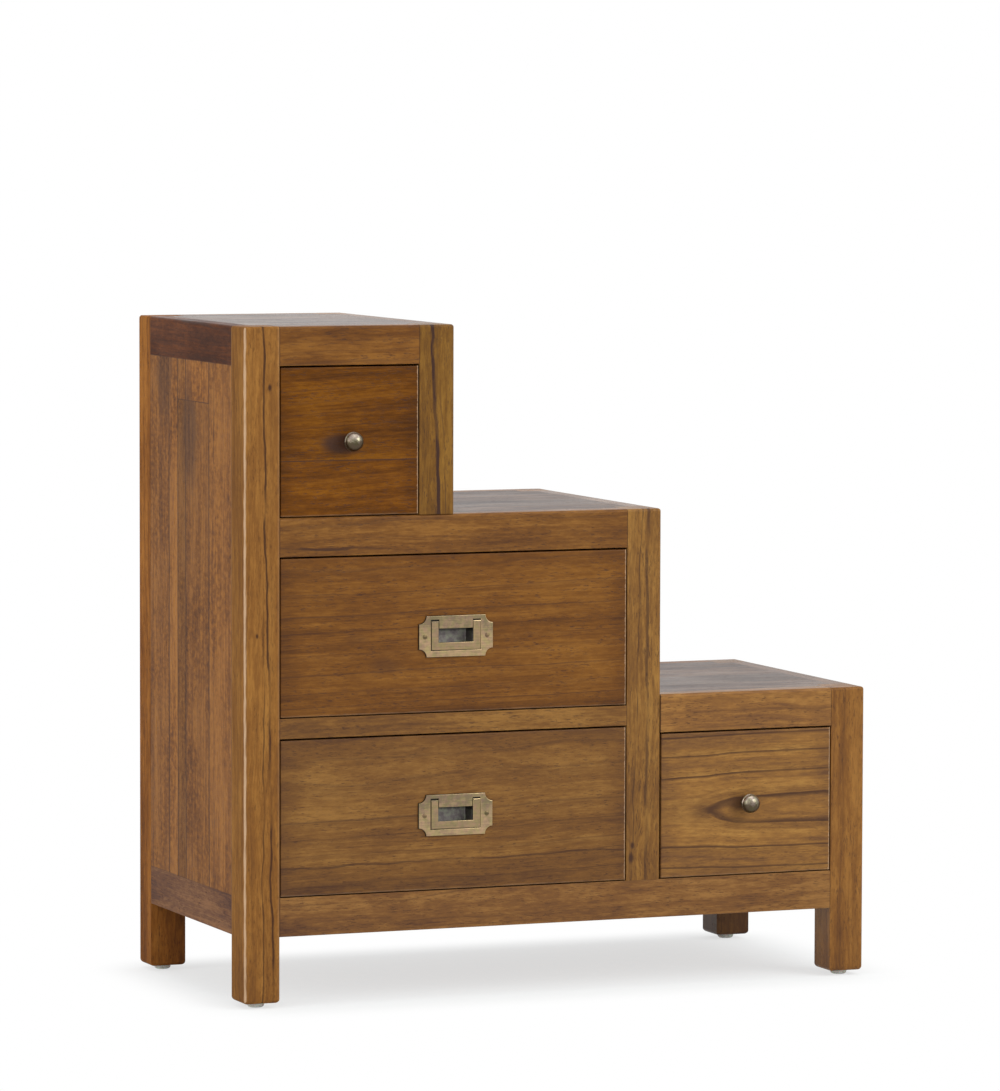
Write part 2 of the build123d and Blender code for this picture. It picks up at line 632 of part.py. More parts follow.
def build_bail():
    """The swinging handle: two arms with barrel ends and trunnions, and a grip bar."""
    outer = rect((-BAIL_HALF, BAIL_HALF), (-BAIL_BOTTOM, HINGE_HEIGHT))
    inner = rect((-WINDOW_HALF, WINDOW_HALF), (BAIL_ARM - BAIL_BOTTOM, PLATE_HEIGHT))
    bail = slab(outer - inner, BAIL_FACE, BAIL_REAR)
    front = [e for e in edges_on(bail, y=BAIL_FACE) if e.center().Z < HINGE_HEIGHT - 0.001]
    bail = fillet(front, BAIL_ROUND)
    for side in (-1, 1):
        arm_middle = side * (BAIL_HALF - BAIL_ARM / 2)
        barrel = Pos(arm_middle, BAIL_MIDDLE, HINGE_HEIGHT) * Rot(0, 90, 0) * Cylinder(BARREL, BAIL_ARM)
        bail = bail + barrel
    for pin in trunnions(TRUNNION_RADIUS, BAIL_HALF - BAIL_ARM / 2, BAIL_HALF + TRUNNION_LENGTH):
        bail = bail + pin
    return bail


def cup_prism(grow, y_start, y_end):
    """The tapering cup between two depths, grown by a wall."""
    height = PAN_MOUTH_TOP + PAN_MOUTH_BOTTOM + 2 * grow
    middle = (PAN_MOUTH_TOP - PAN_MOUTH_BOTTOM) / 2
    mouth = Pos(0, middle) * RectangleRounded(2 * (WINDOW_HALF + grow), height, PAN_CORNER + grow)
    face = Plane.XZ.offset(-y_start) * mouth
    return extrude(face, amount=y_end - y_start, dir=(0, 1, 0), taper=PAN_TAPER)


def build_pan():
    """The pressed pan behind the plate: a flange with a tapering cup for the fingers."""
    flange = block(PAN_FLANGE_X, (PLATE_LET_IN, PAN_BACK), PAN_FLANGE_Z)
    inner = cup_prism(0, PLATE_LET_IN, PLATE_LET_IN + PAN_DEPTH)
    outer = cup_prism(PAN_THICKNESS, PLATE_LET_IN, PLATE_LET_IN + PAN_DEPTH + PAN_THICKNESS)
    return flange + outer - inner


def pull_pocket():
    """What is cut from the drawer front for the plate and the pan."""
    plate = slab(plate_outline(POCKET_FIT), -CUT_PAST, PLATE_LET_IN)
    flange = block(widened(PAN_FLANGE_X, POCKET_FIT), (0, PAN_BACK), widened(PAN_FLANGE_Z, POCKET_FIT))
    cup_wall = PAN_THICKNESS + POCKET_FIT
    cup_x = widened((-WINDOW_HALF, WINDOW_HALF), cup_wall)
    cup_z = widened((-PAN_MOUTH_BOTTOM, PAN_MOUTH_TOP), cup_wall)
    cup = block(cup_x, (0, PLATE_LET_IN + PAN_DEPTH + cup_wall), cup_z)
    return plate + flange + cup


def build_pull(place):
    """The pieces of a flush pull and the cutters that let it into a drawer front."""
    screw, hole = countersunk_screw(PULL_SCREW_LENGTH, True)
    outwards = Pos(0, -PLATE_PROUD, 0) * Rot(90, 0, 0)
    screw = outwards * Rot(0, 0, 90) * screw
    hole = outwards * hole
    spots = [Pos(side * PULL_SCREW_SPACING / 2, 0, 0) for side in (-1, 1)]
    pieces = {
        "pull_plate": [place * build_plate(hole)],
        "pull_pan": [place * build_pan()],
        "pull_bail": [place * build_bail()],
        "pull_screws": [place * spot * screw for spot in spots],
    }
    cutters = [place * pull_pocket()] + [place * spot * hole for spot in spots]
    return pieces, cutters


# ================================================================ drawers
def tails(x, z):
    """The dovetails on the front end of a drawer side."""
    tip_y = FRONT + LAP
    root_y = FRONT + FRONT_THICKNESS
    pitch = (z[1] - z[0]) / TAIL_COUNT
    tip = (pitch - PIN_WIDTH) / 2
    root = tip - TAIL_SLOPE * (root_y - tip_y)
    cut_tails = []
    for index in range(TAIL_COUNT):
        middle = z[0] + (index + 0.5) * pitch
        corners = [
            (tip_y, middle - tip),
            (root_y, middle - root),
            (root_y, middle + root),
            (tip_y, middle + tip),
        ]
        outline = Plane.YZ.offset(x[0]) * Polygon(*corners, align=None)
        cut_tails.append(extrude(outline, amount=x[1] - x[0], dir=(1, 0, 0)))
    return cut_tails


def build_drawer(name, x, z, handle):
    """The pieces of one drawer, from the opening that it fills: {node: [solids]}."""
    front_x = widened(x, -FRONT_SIDE_GAP)
    front_z = (z[0] + FRONT_BOTTOM_GAP, z[1] - FRONT_TOP_GAP)
    front_y = (FRONT, FRONT + FRONT_THICKNESS)
    side_z = (front_z[0], front_z[1] - SIDE_DROP)
    side_y = (front_y[1], BACK - DRAWER_BACK_ROOM)
    left_x = (front_x[0], front_x[0] + SIDE_THICKNESS)
    right_x = (front_x[1] - SIDE_THICKNESS, front_x[1])
    inner_x = (left_x[1], right_x[0])

    bottom_z = (side_z[0] + BOTTOM_RAISE, side_z[0] + BOTTOM_RAISE + PLY_THICKNESS)
    bottom_y = (front_y[1] - TONGUE_LENGTH, side_y[1])
    bottom = block(widened(inner_x, TONGUE_LENGTH), bottom_y, bottom_z)
    groove_y = (bottom_y[0] - GROOVE_GAP, bottom_y[1] + GROOVE_GAP)
    groove = block(widened(inner_x, TONGUE_LENGTH + GROOVE_GAP), groove_y, bottom_z)

    back_y = (side_y[1] - DRAWER_BACK_INSET - DRAWER_BACK_THICKNESS, side_y[1] - DRAWER_BACK_INSET)
    back = block(widened(inner_x, HOUSING), back_y, (bottom_z[1], side_z[1]))

    run_y = (side_y[0], side_y[1] + CUT_PAST)
    run_z = (runner_z(z)[0] - RUNNER_UNDER_PLAY, runner_z(z)[1] + RUNNER_TOP_PLAY)
    run_depth = RUNNER_THICKNESS - FRONT_SIDE_GAP + RUNNER_SIDE_PLAY
    run_left = block((left_x[0] - CUT_PAST, left_x[0] + run_depth), run_y, run_z)
    run_right = block((right_x[1] - run_depth, right_x[1] + CUT_PAST), run_y, run_z)

    sides = []
    all_tails = []
    for side_x, run in ((left_x, run_left), (right_x, run_right)):
        side_tails = tails(side_x, side_z)
        side = block(side_x, side_y, side_z)
        for tail in side_tails:
            side = side + tail
        sides.append(cut(side, [groove, back, run]))
        all_tails += side_tails

    front = block(front_x, front_y, front_z)
    front = fillet(edges_on(front, y=front_y[0]), FRONT_ROUND)
    front = cut(front, all_tails + [groove])

    middle_x = sum(front_x) / 2
    middle_z = sum(front_z) / 2
    if handle == "knob":
        knob, hole = build_knob(Pos(middle_x, FRONT, middle_z))
        front = front - hole
        fittings = {"knob": [knob]}
    else:
        fittings, cutters = build_pull(Pos(middle_x, FRONT, middle_z - PULL_DROP))
        front = cut(front, cutters)
    pieces = {"front": [front], "sides": sides, "back": [back], "bottom": [bottom], **fittings}
    return {f"{name}_{piece}": solids for piece, solids in pieces.items()}


# ================================================================ the whole chest
def build_chest():
    nodes = build_carcass()
    build_runners(nodes)
    build_glides(nodes)
    for name, (x, z, handle) in OPENINGS.items():
        nodes.update(build_drawer(name, x, z, handle))
    return nodes


os.makedirs("parts", exist_ok=True)
for node_name, node_solids in build_chest().items():
    solids = [solid for shape in node_solids for solid in shape.solids()]
    export_step(Compound(label=node_name, children=solids), f"parts/{node_name}.step")
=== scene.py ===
import cmath
import json
import math

import bmesh
import bpy
from bpy.props import FloatProperty, FloatVectorProperty, IntProperty, PointerProperty
from mathutils import Matrix, Vector

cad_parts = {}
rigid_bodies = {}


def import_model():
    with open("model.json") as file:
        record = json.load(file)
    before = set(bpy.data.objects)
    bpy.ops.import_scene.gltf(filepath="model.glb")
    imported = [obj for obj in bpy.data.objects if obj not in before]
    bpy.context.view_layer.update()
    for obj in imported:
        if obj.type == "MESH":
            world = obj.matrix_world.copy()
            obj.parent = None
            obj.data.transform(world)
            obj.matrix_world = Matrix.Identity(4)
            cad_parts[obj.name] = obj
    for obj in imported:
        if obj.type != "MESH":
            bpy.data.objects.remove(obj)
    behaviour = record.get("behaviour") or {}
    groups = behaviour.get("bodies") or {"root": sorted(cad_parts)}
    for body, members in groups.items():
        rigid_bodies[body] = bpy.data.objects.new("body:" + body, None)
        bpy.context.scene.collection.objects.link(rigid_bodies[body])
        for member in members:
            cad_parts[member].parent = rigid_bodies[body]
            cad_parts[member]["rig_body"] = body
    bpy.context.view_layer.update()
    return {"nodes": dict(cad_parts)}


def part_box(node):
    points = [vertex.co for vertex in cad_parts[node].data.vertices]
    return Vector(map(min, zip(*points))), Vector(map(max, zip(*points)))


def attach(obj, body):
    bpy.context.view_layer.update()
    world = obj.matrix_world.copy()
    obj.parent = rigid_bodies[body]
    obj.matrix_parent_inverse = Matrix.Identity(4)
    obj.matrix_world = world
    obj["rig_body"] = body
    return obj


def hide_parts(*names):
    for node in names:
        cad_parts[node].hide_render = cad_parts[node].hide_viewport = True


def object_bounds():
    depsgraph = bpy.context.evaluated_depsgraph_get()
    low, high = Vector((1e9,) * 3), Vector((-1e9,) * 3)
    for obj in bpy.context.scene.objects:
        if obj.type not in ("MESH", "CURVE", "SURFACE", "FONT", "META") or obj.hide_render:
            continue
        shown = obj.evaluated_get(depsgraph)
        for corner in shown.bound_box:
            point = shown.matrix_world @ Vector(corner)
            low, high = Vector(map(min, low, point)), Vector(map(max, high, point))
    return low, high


bl_info = {
    "name": "Step Chest",
    "version": (1, 0, 0),
    "blender": (4, 5, 0),
    "location": "3D View > Sidebar > Step Chest",
    "description": "Stained timber, brass pulls and knobs for a step chest, in a pale studio",
    "category": "Object",
}

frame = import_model()
CHEST_LOW, CHEST_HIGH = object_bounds()

# Metres. +X is right, +Y is the back, +Z is up, and the drawers open towards -Y.
TENON = 0.020                 # hidden ends of the rails
STUB = 0.014                  # hidden foot of a post that stands on a rail
TONGUE = 0.006                # hidden edge of a panel or board
MM = 0.001
PULL_DRAWERS = ("upper_drawer", "lower_drawer")
KNOB_DRAWERS = ("top_drawer", "low_drawer")


# ======== settings
def colour_prop(name, description, *default):
    return FloatVectorProperty(
        name=name, description=description, default=default, subtype="COLOR", size=3, min=0, max=1)


def power_prop(name, description, default):
    return FloatProperty(
        name=name, description=description, default=default, min=0, unit="POWER")


def width_prop(name, description, default):
    return FloatProperty(
        name=name, description=description, default=default, min=0, unit="LENGTH",
        subtype="DISTANCE")


def share_prop(name, description, default, low=0, high=1):
    return FloatProperty(
        name=name, description=description, default=default, min=low, max=high)


class TimberSettings(bpy.types.PropertyGroup):
    """Colours and finish of the stained timber."""

    golden: colour_prop("Golden Wood", "Stain on the lightest wood", 0.330, 0.150, 0.034)
    brown: colour_prop("Brown Wood", "Stain on the middle tone", 0.215, 0.090, 0.022)
    umber: colour_prop("Umber Wood", "Stain on the darkest bands", 0.105, 0.044, 0.018)
    # Vein is also the colour of the dark stain patches, and of the painted shadows beside the
    # knobs.
    vein: colour_prop("Vein", "Ring lines, heart streaks, knots and pores", 0.050, 0.024, 0.017)
    # Rubbed Edge is also the colour of the painted highlights on the front left corner and on the
    # lower edges and right ends of the drawer fronts; Edge Width is their width too.
    rubbed: colour_prop("Rubbed Edge", "Stain rubbed thin on an edge", 0.60, 0.40, 0.25)
    raw: colour_prop("Raw Wood", "Unstained drawer boxes and runners", 0.50, 0.33, 0.17)
    edge_width: width_prop("Edge Width", "How far the rubbing reaches in from an edge", 0.0022)
    pore_depth: width_prop("Pore Depth", "Height of the bump of pores and rings", 0.00025)
    lacquer_ior: share_prop("Lacquer IOR", "Refraction of the thin lacquer", 1.18, 1, 2)
    thin_lacquer_ior: share_prop("Thin Lacquer IOR", "Where it was rubbed back", 1.08, 1, 2)
    tread_wax: share_prop("Tread Wax", "Weight of the wax coat on the treads", 0.5)


class FittingSettings(bpy.types.PropertyGroup):
    """Colours and roundness of the metal fittings and the glides."""

    brass: colour_prop("Antique Brass", "Bright parts of plates and bails", 0.460, 0.340, 0.177)
    patina: colour_prop("Patina", "Dark film in the hollows of the brass", 0.21, 0.165, 0.10)
    knob_bronze: colour_prop("Knob Bronze", "Dark antique finish of the knobs", 0.40, 0.37, 0.29)
    pan_grey: colour_prop("Pan Grey", "Dull metal of the cup behind a pull", 0.215, 0.210, 0.185)
    nylon: colour_prop("Nylon", "Milky plastic of the glides", 0.80, 0.80, 0.74)
    turned_steps: IntProperty(
        name="Turned Steps", description="Facets round a turned piece", min=12, max=128, default=72)


class StudioSettings(bpy.types.PropertyGroup):
    """Lights, floor and camera."""

    floor: colour_prop("Floor", "Pale floor under and round the chest", 0.93, 0.975, 0.98)
    room: share_prop("Room", "Strength of the light from all round", 0.47, high=10)
    key_power: power_prop("Key", "Softbox in front, at the right", 84.0)
    fill_power: power_prop("Fill", "Softbox in front, at the left", 12.0)
    side_power: power_prop("Side", "Softbox at the left", 34.0)
    top_power: power_prop("Top", "Softbox overhead", 36.0)
    lens: FloatProperty(
        name="Lens", description="Focal length on a 36 mm sensor", unit="CAMERA", min=1,
        default=203.04)
    camera_place: FloatVectorProperty(
        name="Camera", description="Where the camera stands", subtype="TRANSLATION",
        unit="LENGTH", size=3, default=(-2.8145, -6.9043, 1.0919))
    camera_turn: FloatVectorProperty(
        name="Camera Turn", description="Down, roll and sideways turn of the camera",
        subtype="EULER", unit="ROTATION", size=3,
        default=(math.radians(-4.3671), math.radians(0.1579), math.radians(22.1345)))


def settings(name):
    return getattr(bpy.context.scene, "step_chest_" + name)


# ======== shader helpers
class Shader:
    """Adds nodes to a tree and joins them up."""

    def __init__(self, tree):
        self.tree = tree
        tree.nodes.clear()

    def node(self, kind, inputs=None, **values):
        kind = kind if kind.startswith("NodeGroup") else "ShaderNode" + kind
        made = self.tree.nodes.new(kind)
        for name, value in values.items():
            setattr(made, name, value)
        for name, value in (inputs or {}).items():
            self.feed(made.inputs[name], value)
        return made

    def feed(self, socket, value):
        if isinstance(value, bpy.types.NodeSocket):
            self.tree.links.new(value, socket)
        elif socket.type == "RGBA":
            socket.default_value = (*value, 1)
        else:
            socket.default_value = value

    def output(self, kind, surface):
        self.node("Output" + kind, {"Surface": surface})

    def maths(self, operation, *values, clamp=False):
        made = self.node("Math", operation=operation, use_clamp=clamp)
        for socket, value in zip(made.inputs, values):
            self.feed(socket, value)
        return made.outputs[0]

    def times(self, a, b):
        return self.maths("MULTIPLY", a, b)

    def plus(self, a, b, clamp=False):
        return self.maths("ADD", a, b, clamp=clamp)

    def minus(self, a, b):
        return self.maths("SUBTRACT", a, b)

    def between(self, a, b):
        """How far two values are apart."""
        return self.maths("ABSOLUTE", self.minus(a, b))

    def vector(self, operation, *values, output=0):
        made = self.node("VectorMath", operation=operation)
        for socket, value in zip(made.inputs, values):
            self.feed(socket, value)
        return made.outputs[output]

    def length(self, vector):
        return self.vector("LENGTH", vector, output=1)

    def dot(self, a, b):
        return self.vector("DOT_PRODUCT", a, b, output=1)

    def scaled(self, vector, factor):
        made = self.node("VectorMath", {"Vector": vector, "Scale": factor}, operation="SCALE")
        return made.outputs[0]

    def combined(self, x=0.0, y=0.0, z=0.0):
        return self.node("CombineXYZ", {"X": x, "Y": y, "Z": z}).outputs[0]

    def apart(self, vector):
        return self.node("SeparateXYZ", {"Vector": vector}).outputs

    def smooth(self, value, start, end, low=0.0, high=1.0):
        """A value read between start and end, as a soft step from low to high."""
        given = {"Value": value, "From Min": start, "From Max": end, "To Min": low, "To Max": high}
        return self.node("MapRange", given, interpolation_type="SMOOTHSTEP").outputs[0]

    def swung(self, noise, share, value):
        """The value, moved up and down by a share of the noise."""
        return self.maths("MULTIPLY_ADD", self.maths("SUBTRACT", noise, 0.5), share, value)

    def mix(self, factor, a, b, blend="MIX"):
        made = self.node("Mix", data_type="RGBA", blend_type=blend)
        for index, value in ((0, factor), (6, a), (7, b)):
            self.feed(made.inputs[index], value)
        return made.outputs[2]

    def ramp(self, factor, stops):
        """Three colours in order, each reached at its place on the way from 0 to 1."""
        made = self.node("ValToRGB", {"Fac": factor})
        made.color_ramp.elements.new(0.5)
        for element, (place, colour) in zip(made.color_ramp.elements, stops):
            element.position = place
            element.color = (*colour, 1)
        return made.outputs["Color"]

    def noise(self, vector, scale=1.0, detail=2.0, roughness=0.5, output="Fac"):
        given = {"Vector": vector, "Scale": scale, "Detail": detail, "Roughness": roughness}
        return self.node("TexNoise", given).outputs[output]

    def chance(self, vector, output):
        """One draw for each whole place."""
        made = self.node("TexWhiteNoise", {"Vector": vector}, noise_dimensions="3D")
        return made.outputs[output]

    def seen_share(self):
        """1 for rays that show a surface as it looks, 0 for those that carry its light."""
        light = self.node("LightPath").outputs
        seen = self.maths("MAXIMUM", light["Is Camera Ray"], light["Is Glossy Ray"])
        return self.maths("MAXIMUM", seen, light["Is Transmission Ray"])


def new_material(name):
    """A material, its shader and the place in the piece."""
    material = bpy.data.materials.new(name)
    material.use_nodes = True
    shader = Shader(material.node_tree)
    return material, shader, shader.node("TexCoord").outputs["Object"]


def finish_material(shader, colour, roughness, height, bump, bump_strength, constants):
    """The surface shader with its bump. Constants go on the shader's own sockets."""
    given = {"Height": height, "Distance": bump, "Strength": bump_strength}
    normal = shader.node("Bump", given).outputs["Normal"]
    given = {"Base Color": colour, "Roughness": roughness, "Normal": normal, **constants}
    surface = shader.node("BsdfPrincipled", given)
    if constants.get("Coat Weight"):
        shader.feed(surface.inputs["Coat Normal"], normal)
    shader.output("Material", surface.outputs[0])


# ======== timber
AXES = {"X": Vector((1, 0, 0)), "Y": Vector((0, 1, 0)), "Z": Vector((0, 0, 1))}
ALL = Vector((1, 1, 1))
FIGURE_SOCKETS = (
    ("INPUT", "Vector", ("Place", "Along", "Across", "Pith", "Lean")),
    ("INPUT", "Float", ("Ring Width", "Phase", "Uneven", "Line Start", "Even", "Wander", "Seed")),
    ("OUTPUT", "Float", ("Rings", "Bands", "Lines", "Pores", "Mottle", "Streaks", "Clouds")),
)


def timber_figure():
    """The figure of a sawn log as a node group: rings round a pith, pores, streaks and clouds
    along the grain."""
    name = "Timber Figure"
    if name in bpy.data.node_groups:
        return bpy.data.node_groups[name]
    tree = bpy.data.node_groups.new(name, "ShaderNodeTree")
    shader = Shader(tree)
    for side, kind, names in FIGURE_SOCKETS:
        for name in names:
            tree.interface.new_socket(name=name, in_out=side, socket_type="NodeSocket" + kind)
    given = shader.node("NodeGroupInput").outputs
    seed = given["Seed"]
    moved = shader.scaled(shader.combined(0.37, 0.53, 0.71), seed)
    moved = shader.vector("ADD", given["Place"], moved)

    def streaky(across, along, detail=2.0, roughness=0.5, output="Fac"):
        """Noise with cells of this size across and along the grain."""
        across = shader.scaled(given["Across"], 1 / across)
        along = shader.scaled(given["Along"], 1 / along)
        cells = shader.vector("ADD", across, along)
        place = shader.vector("MULTIPLY", moved, cells)
        return shader.noise(place, 1.0, detail, roughness, output)

    along = shader.dot(given["Place"], given["Along"])
    pith = shader.vector("ADD", given["Pith"], shader.scaled(given["Lean"], along))
    away = shader.vector("SUBTRACT", given["Place"], pith)
    bend = shader.vector("SUBTRACT", streaky(0.07, 0.22, output="Color"), (0.5, 0.5, 0.5))
    away = shader.vector("ADD", away, shader.scaled(bend, given["Wander"]))
    radius = shader.length(shader.vector("MULTIPLY", away, given["Across"]))
    radius = shader.swung(streaky(0.006, 0.05), 0.0016, radius)
    ring = shader.maths("DIVIDE", radius, given["Ring Width"])
    ring = shader.plus(ring, given["Phase"])

    year = shader.combined(shader.times(ring, 0.43), seed)
    uneven = shader.times(shader.noise(year, detail=1.0), given["Uneven"])
    ring = shader.plus(ring, uneven)
    part = shader.maths("FRACT", ring)
    depth = shader.chance(shader.combined(shader.maths("FLOOR", ring), seed, 0.5), "Value")
    soft = shader.smooth(part, 0.0, 0.40, 0.25, 0.0)
    rise = shader.smooth(part, given["Line Start"], 0.95)
    fall = shader.smooth(part, 0.96, 1.0, 1.0, 0.0)
    dark = shader.times(shader.plus(rise, soft), fall)
    least = shader.maths("MULTIPLY_ADD", given["Even"], 0.6, 0.4)
    dark = shader.times(dark, shader.smooth(depth, 0.1, 0.9, least, 1.0))
    fade = shader.smooth(streaky(0.03, 0.14), 0.30, 0.62, least, 1.0)

    def threads(width, length, detail, roughness=0.5):
        """Noise in sheets that follow the rings, as thin as the width across the grain."""
        across = shader.maths("DIVIDE", radius, width)
        far = shader.maths("DIVIDE", along, length)
        return shader.noise(shader.combined(across, far, seed), 1.0, detail, roughness)

    patchy = shader.smooth(streaky(0.012, 0.05, 1.0), 0.35, 0.6, 0.25, 1.0)
    pores = shader.smooth(streaky(0.0012, 0.009, 2.0, 0.6), 0.57, 0.64)
    shader.node("NodeGroupOutput", {
        "Rings": shader.times(dark, fade),
        "Bands": threads(0.012, 0.7, 2.0),
        "Lines": threads(0.0020, 0.09, 4.0, 0.7),
        "Pores": shader.times(pores, patchy),
        "Mottle": streaky(0.0040, 0.017, 5.0, 0.7),
        "Streaks": streaky(0.011, 0.20, 3.0, 0.6),
        "Clouds": streaky(0.055, 0.14, 3.0, 0.6),
    })
    return tree


class Board:
    """How one piece was sawn from its log, and how its stain came out. Offsets run from the
    middle of the piece."""

    trim = (0, 0, 0)        # what tenons or tongues hide at both ends of each axis
    trim_low = (0, 0, 0)    # what is hidden at the low end only
    pith = (0.05, 0.06, 0.06)
    lean = (0, 0, 0)        # how far the pith moves for each metre of grain
    ring = 0.018
    phase = 0.0             # moves all rings, in rings
    uneven = 2.2            # how much the ring widths differ
    line_start = 0.78       # where the dark line of a ring starts, in rings
    even = 0.0              # 1 makes all those lines alike
    line = 0.40             # strength of those lines
    pores = 0.60            # strength of the dark pores
    wander = 0.012          # how far the rings leave their circles
    dip = None              # (start, end, depth) along the grain, where the rings sink in
    contrast = 1.0          # of the stain's light and dark
    tone = (1, 1, 1)
    lower_tone = None       # tone of the lower one, where two rails share a node
    pale = 0.0              # more golden wood above 0, more umber below
    flecks = 0.16           # short pale flecks along the grain
    ripple = 0.0            # short waves across the grain
    pool = 0.0              # darker towards the edges
    rub_and_highlight = 0.0               # strength of the rubbed long edges, which are partly painted highlight
    rub_and_highlight_top = 1.0           # share of that on the upper edge; less paints the lower edge lighter than the upper
    rub_and_highlight_corner = None       # towards the one long edge that is rubbed and has a painted highlight
    right_end_highlight = 0.0         # painted highlight on the right end
    seam = 0.0              # dark joint along the long edges
    ends = 0.0              # dark joint at the ends
    veins = ()              # [(axis, offset, slope, half width, strength, (faint, full)...)]
    knots = ()              # [(offset, radius)]
    stain_and_shadow_patches = ()            # [(offset, radius, strength)] of dark stain, and of painted shadow beside the knobs
    seams = None            # (axis, places) of glued boards
    shades = None           # tone of each of those boards
    butt = None             # (place along the grain, first seam, last seam, shade above)
    glue = 0.5              # how dark the glue lines are
    glue_width = 0.0011
    ior = None              # refraction of the lacquer, where it isn't that of the settings
    wax = 0.0               # share of the wax on the treads
    stain = True

    def __init__(self, grain, **values):
        self.grain = grain  # axis that the grain runs along
        self.along = AXES[grain]
        self.cross = [axis for axis in AXES if axis != grain]
        self.change(**values)

    def change(self, **values):
        for name, value in values.items():
            if not hasattr(Board, name):
                raise AttributeError(name)
            setattr(self, name, value)

    def noise(self, shader, place, along, across, detail=2.0):
        """Noise with this many cells to a metre along and across the grain."""
        cells = self.along * along + (ALL - self.along) * across
        return shader.noise(shader.vector("MULTIPLY", place, cells), detail=detail)


def glued_boards(shader, board, place, seed):
    """Moves each glued board to its own stretch of timber. Gives the place, the tone and the
    glue line."""
    axis, lines = board.seams
    spot = shader.apart(place)
    tone = board.shades[0]
    index = 0.0
    nearest = 1.0
    passed = []
    for line, before, after in zip(lines, board.shades, board.shades[1:]):
        passed.append(shader.maths("GREATER_THAN", spot[axis], line))
        index = shader.plus(index, passed[-1])
        tone = shader.maths("MULTIPLY_ADD", passed[-1], after - before, tone)
        nearest = shader.maths("MINIMUM", nearest, shader.between(spot[axis], line))
    if board.butt:
        height, first, last, upper_shade = board.butt
        up = spot[board.grain]
        inside = shader.minus(passed[first], passed[last])
        crossed = shader.times(inside, shader.maths("GREATER_THAN", up, height))
        index = shader.maths("MULTIPLY_ADD", crossed, 7.0, index)
        tone = shader.maths("MULTIPLY_ADD", crossed, upper_shade, tone)
        far = shader.times(shader.between(up, height), 2.5)
        far = shader.plus(far, shader.minus(1.0, inside))
        nearest = shader.maths("MINIMUM", nearest, far)
    chance = shader.chance(shader.combined(index, seed, 0.3), "Color")
    moved = shader.vector("ADD", place, shader.scaled(chance, 0.35))
    glue = shader.smooth(nearest, 0.2 * board.glue_width, board.glue_width, 1.0, 0.0)
    return moved, tone, glue


def vein_mask(shader, board, place, vein):
    """A dark heart streak that wanders along the grain."""
    axis, offset, slope, width, strength, *reach = vein
    spot = shader.apart(place)
    middle = shader.maths("MULTIPLY_ADD", spot[board.grain], slope, offset)
    middle = shader.swung(board.noise(shader, place, 9.5, 0.5), 0.014, middle)
    off = shader.between(spot[axis], middle)
    off = shader.swung(board.noise(shader, place, 45, 500), width * 1.8, off)
    broken = board.noise(shader, place, 14, 60, 3.0)
    mask = shader.smooth(off, width * 0.5, width * 1.3, strength, 0.0)
    mask = shader.times(mask, shader.smooth(broken, 0.38, 0.55, 0.3, 1.0))
    for start, end in reach:
        mask = shader.times(mask, shader.smooth(spot[board.grain], start, end))
    return mask


def knotted(shader, board, place, figured, marks):
    """Bends the figure round the knots and adds them to the dark marks."""
    for offset, size in board.knots:
        off = shader.vector("SUBTRACT", place, offset)
        off = shader.vector("MULTIPLY", off, ALL - board.along * 0.45)
        away = shader.length(off)
        spot = shader.smooth(away, size * 0.3, size * 1.2, 0.9, 0.0)
        swell = shader.smooth(away, 0.0, size * 6, 0.6, 0.0)
        figured = shader.vector("ADD", figured, shader.scaled(off, swell))
        marks = shader.maths("MAXIMUM", marks, spot)
    return figured, marks


def add_stain_and_shadow(shader, board, place, clouds, marks):
    """Adds the patches of dark stain, and the painted shadows beside the knobs, to the dark marks.
    """
    for offset, size, strength in board.stain_and_shadow_patches:
        off = shader.vector("SUBTRACT", place, offset)
        away = shader.length(shader.vector("MULTIPLY", off, ALL - board.along * 0.55))
        away = shader.swung(clouds, size * 1.5, away)
        spot = shader.smooth(away, size * 0.3, size, strength, 0.0)
        marks = shader.maths("MAXIMUM", marks, spot)
    return marks


SHARES = {"Bands": 0.85, "Lines": 0.95, "Mottle": 1.05, "Streaks": 0.45, "Clouds": 1.1}
TONE_STOPS = (0.15, 0.5, 0.95)
RAW_SHADES = (1.12, 0.92, 0.62)


def stained(shader, board, place, figured, figure, gaps, shade):
    """The wood before any dark marks, from golden to umber."""
    timber = settings("timber")
    amount = 0.46 - 0.3 * board.pale
    for noise, share in SHARES.items():
        amount = shader.swung(figure[noise], share * board.contrast, amount)
    if board.ripple:
        waves = board.noise(shader, figured, 200, 130, 3.0)
        share = shader.smooth(
            figure["Clouds"], 0.35, 0.62, 0.4 * board.ripple, 1.3 * board.ripple)
        amount = shader.swung(waves, share, amount)
    # darker towards the edges of the piece
    if board.pool:
        inner = shader.maths("MINIMUM", gaps[board.grain], gaps[board.cross[1]])
        inner = shader.maths("MULTIPLY_ADD", figure["Clouds"], 0.03, inner)
        darker_edges = shader.smooth(inner, 0.006, 0.050, board.pool, 0.0)
        amount = shader.plus(amount, darker_edges)
    tones = [Vector(timber.raw) * share for share in RAW_SHADES]
    if board.stain:
        tones = [Vector(a * b for a, b in zip(tone, board.tone))
                 for tone in (timber.golden, timber.brown, timber.umber)]
    colour = shader.ramp(amount, zip(TONE_STOPS, tones))
    colour = shader.scaled(colour, shade)
    if board.lower_tone:
        lower = shader.maths("LESS_THAN", shader.apart(place)["Z"], 0.0)
        change = Vector(a / b for a, b in zip(board.lower_tone, board.tone))
        colour = shader.mix(lower, colour, shader.mix(1.0, colour, change, "MULTIPLY"))
    bright = shader.smooth(figure["Mottle"], 0.60, 0.70, 0.0, board.flecks)
    return shader.mix(bright, colour, tones[0] * 1.25)


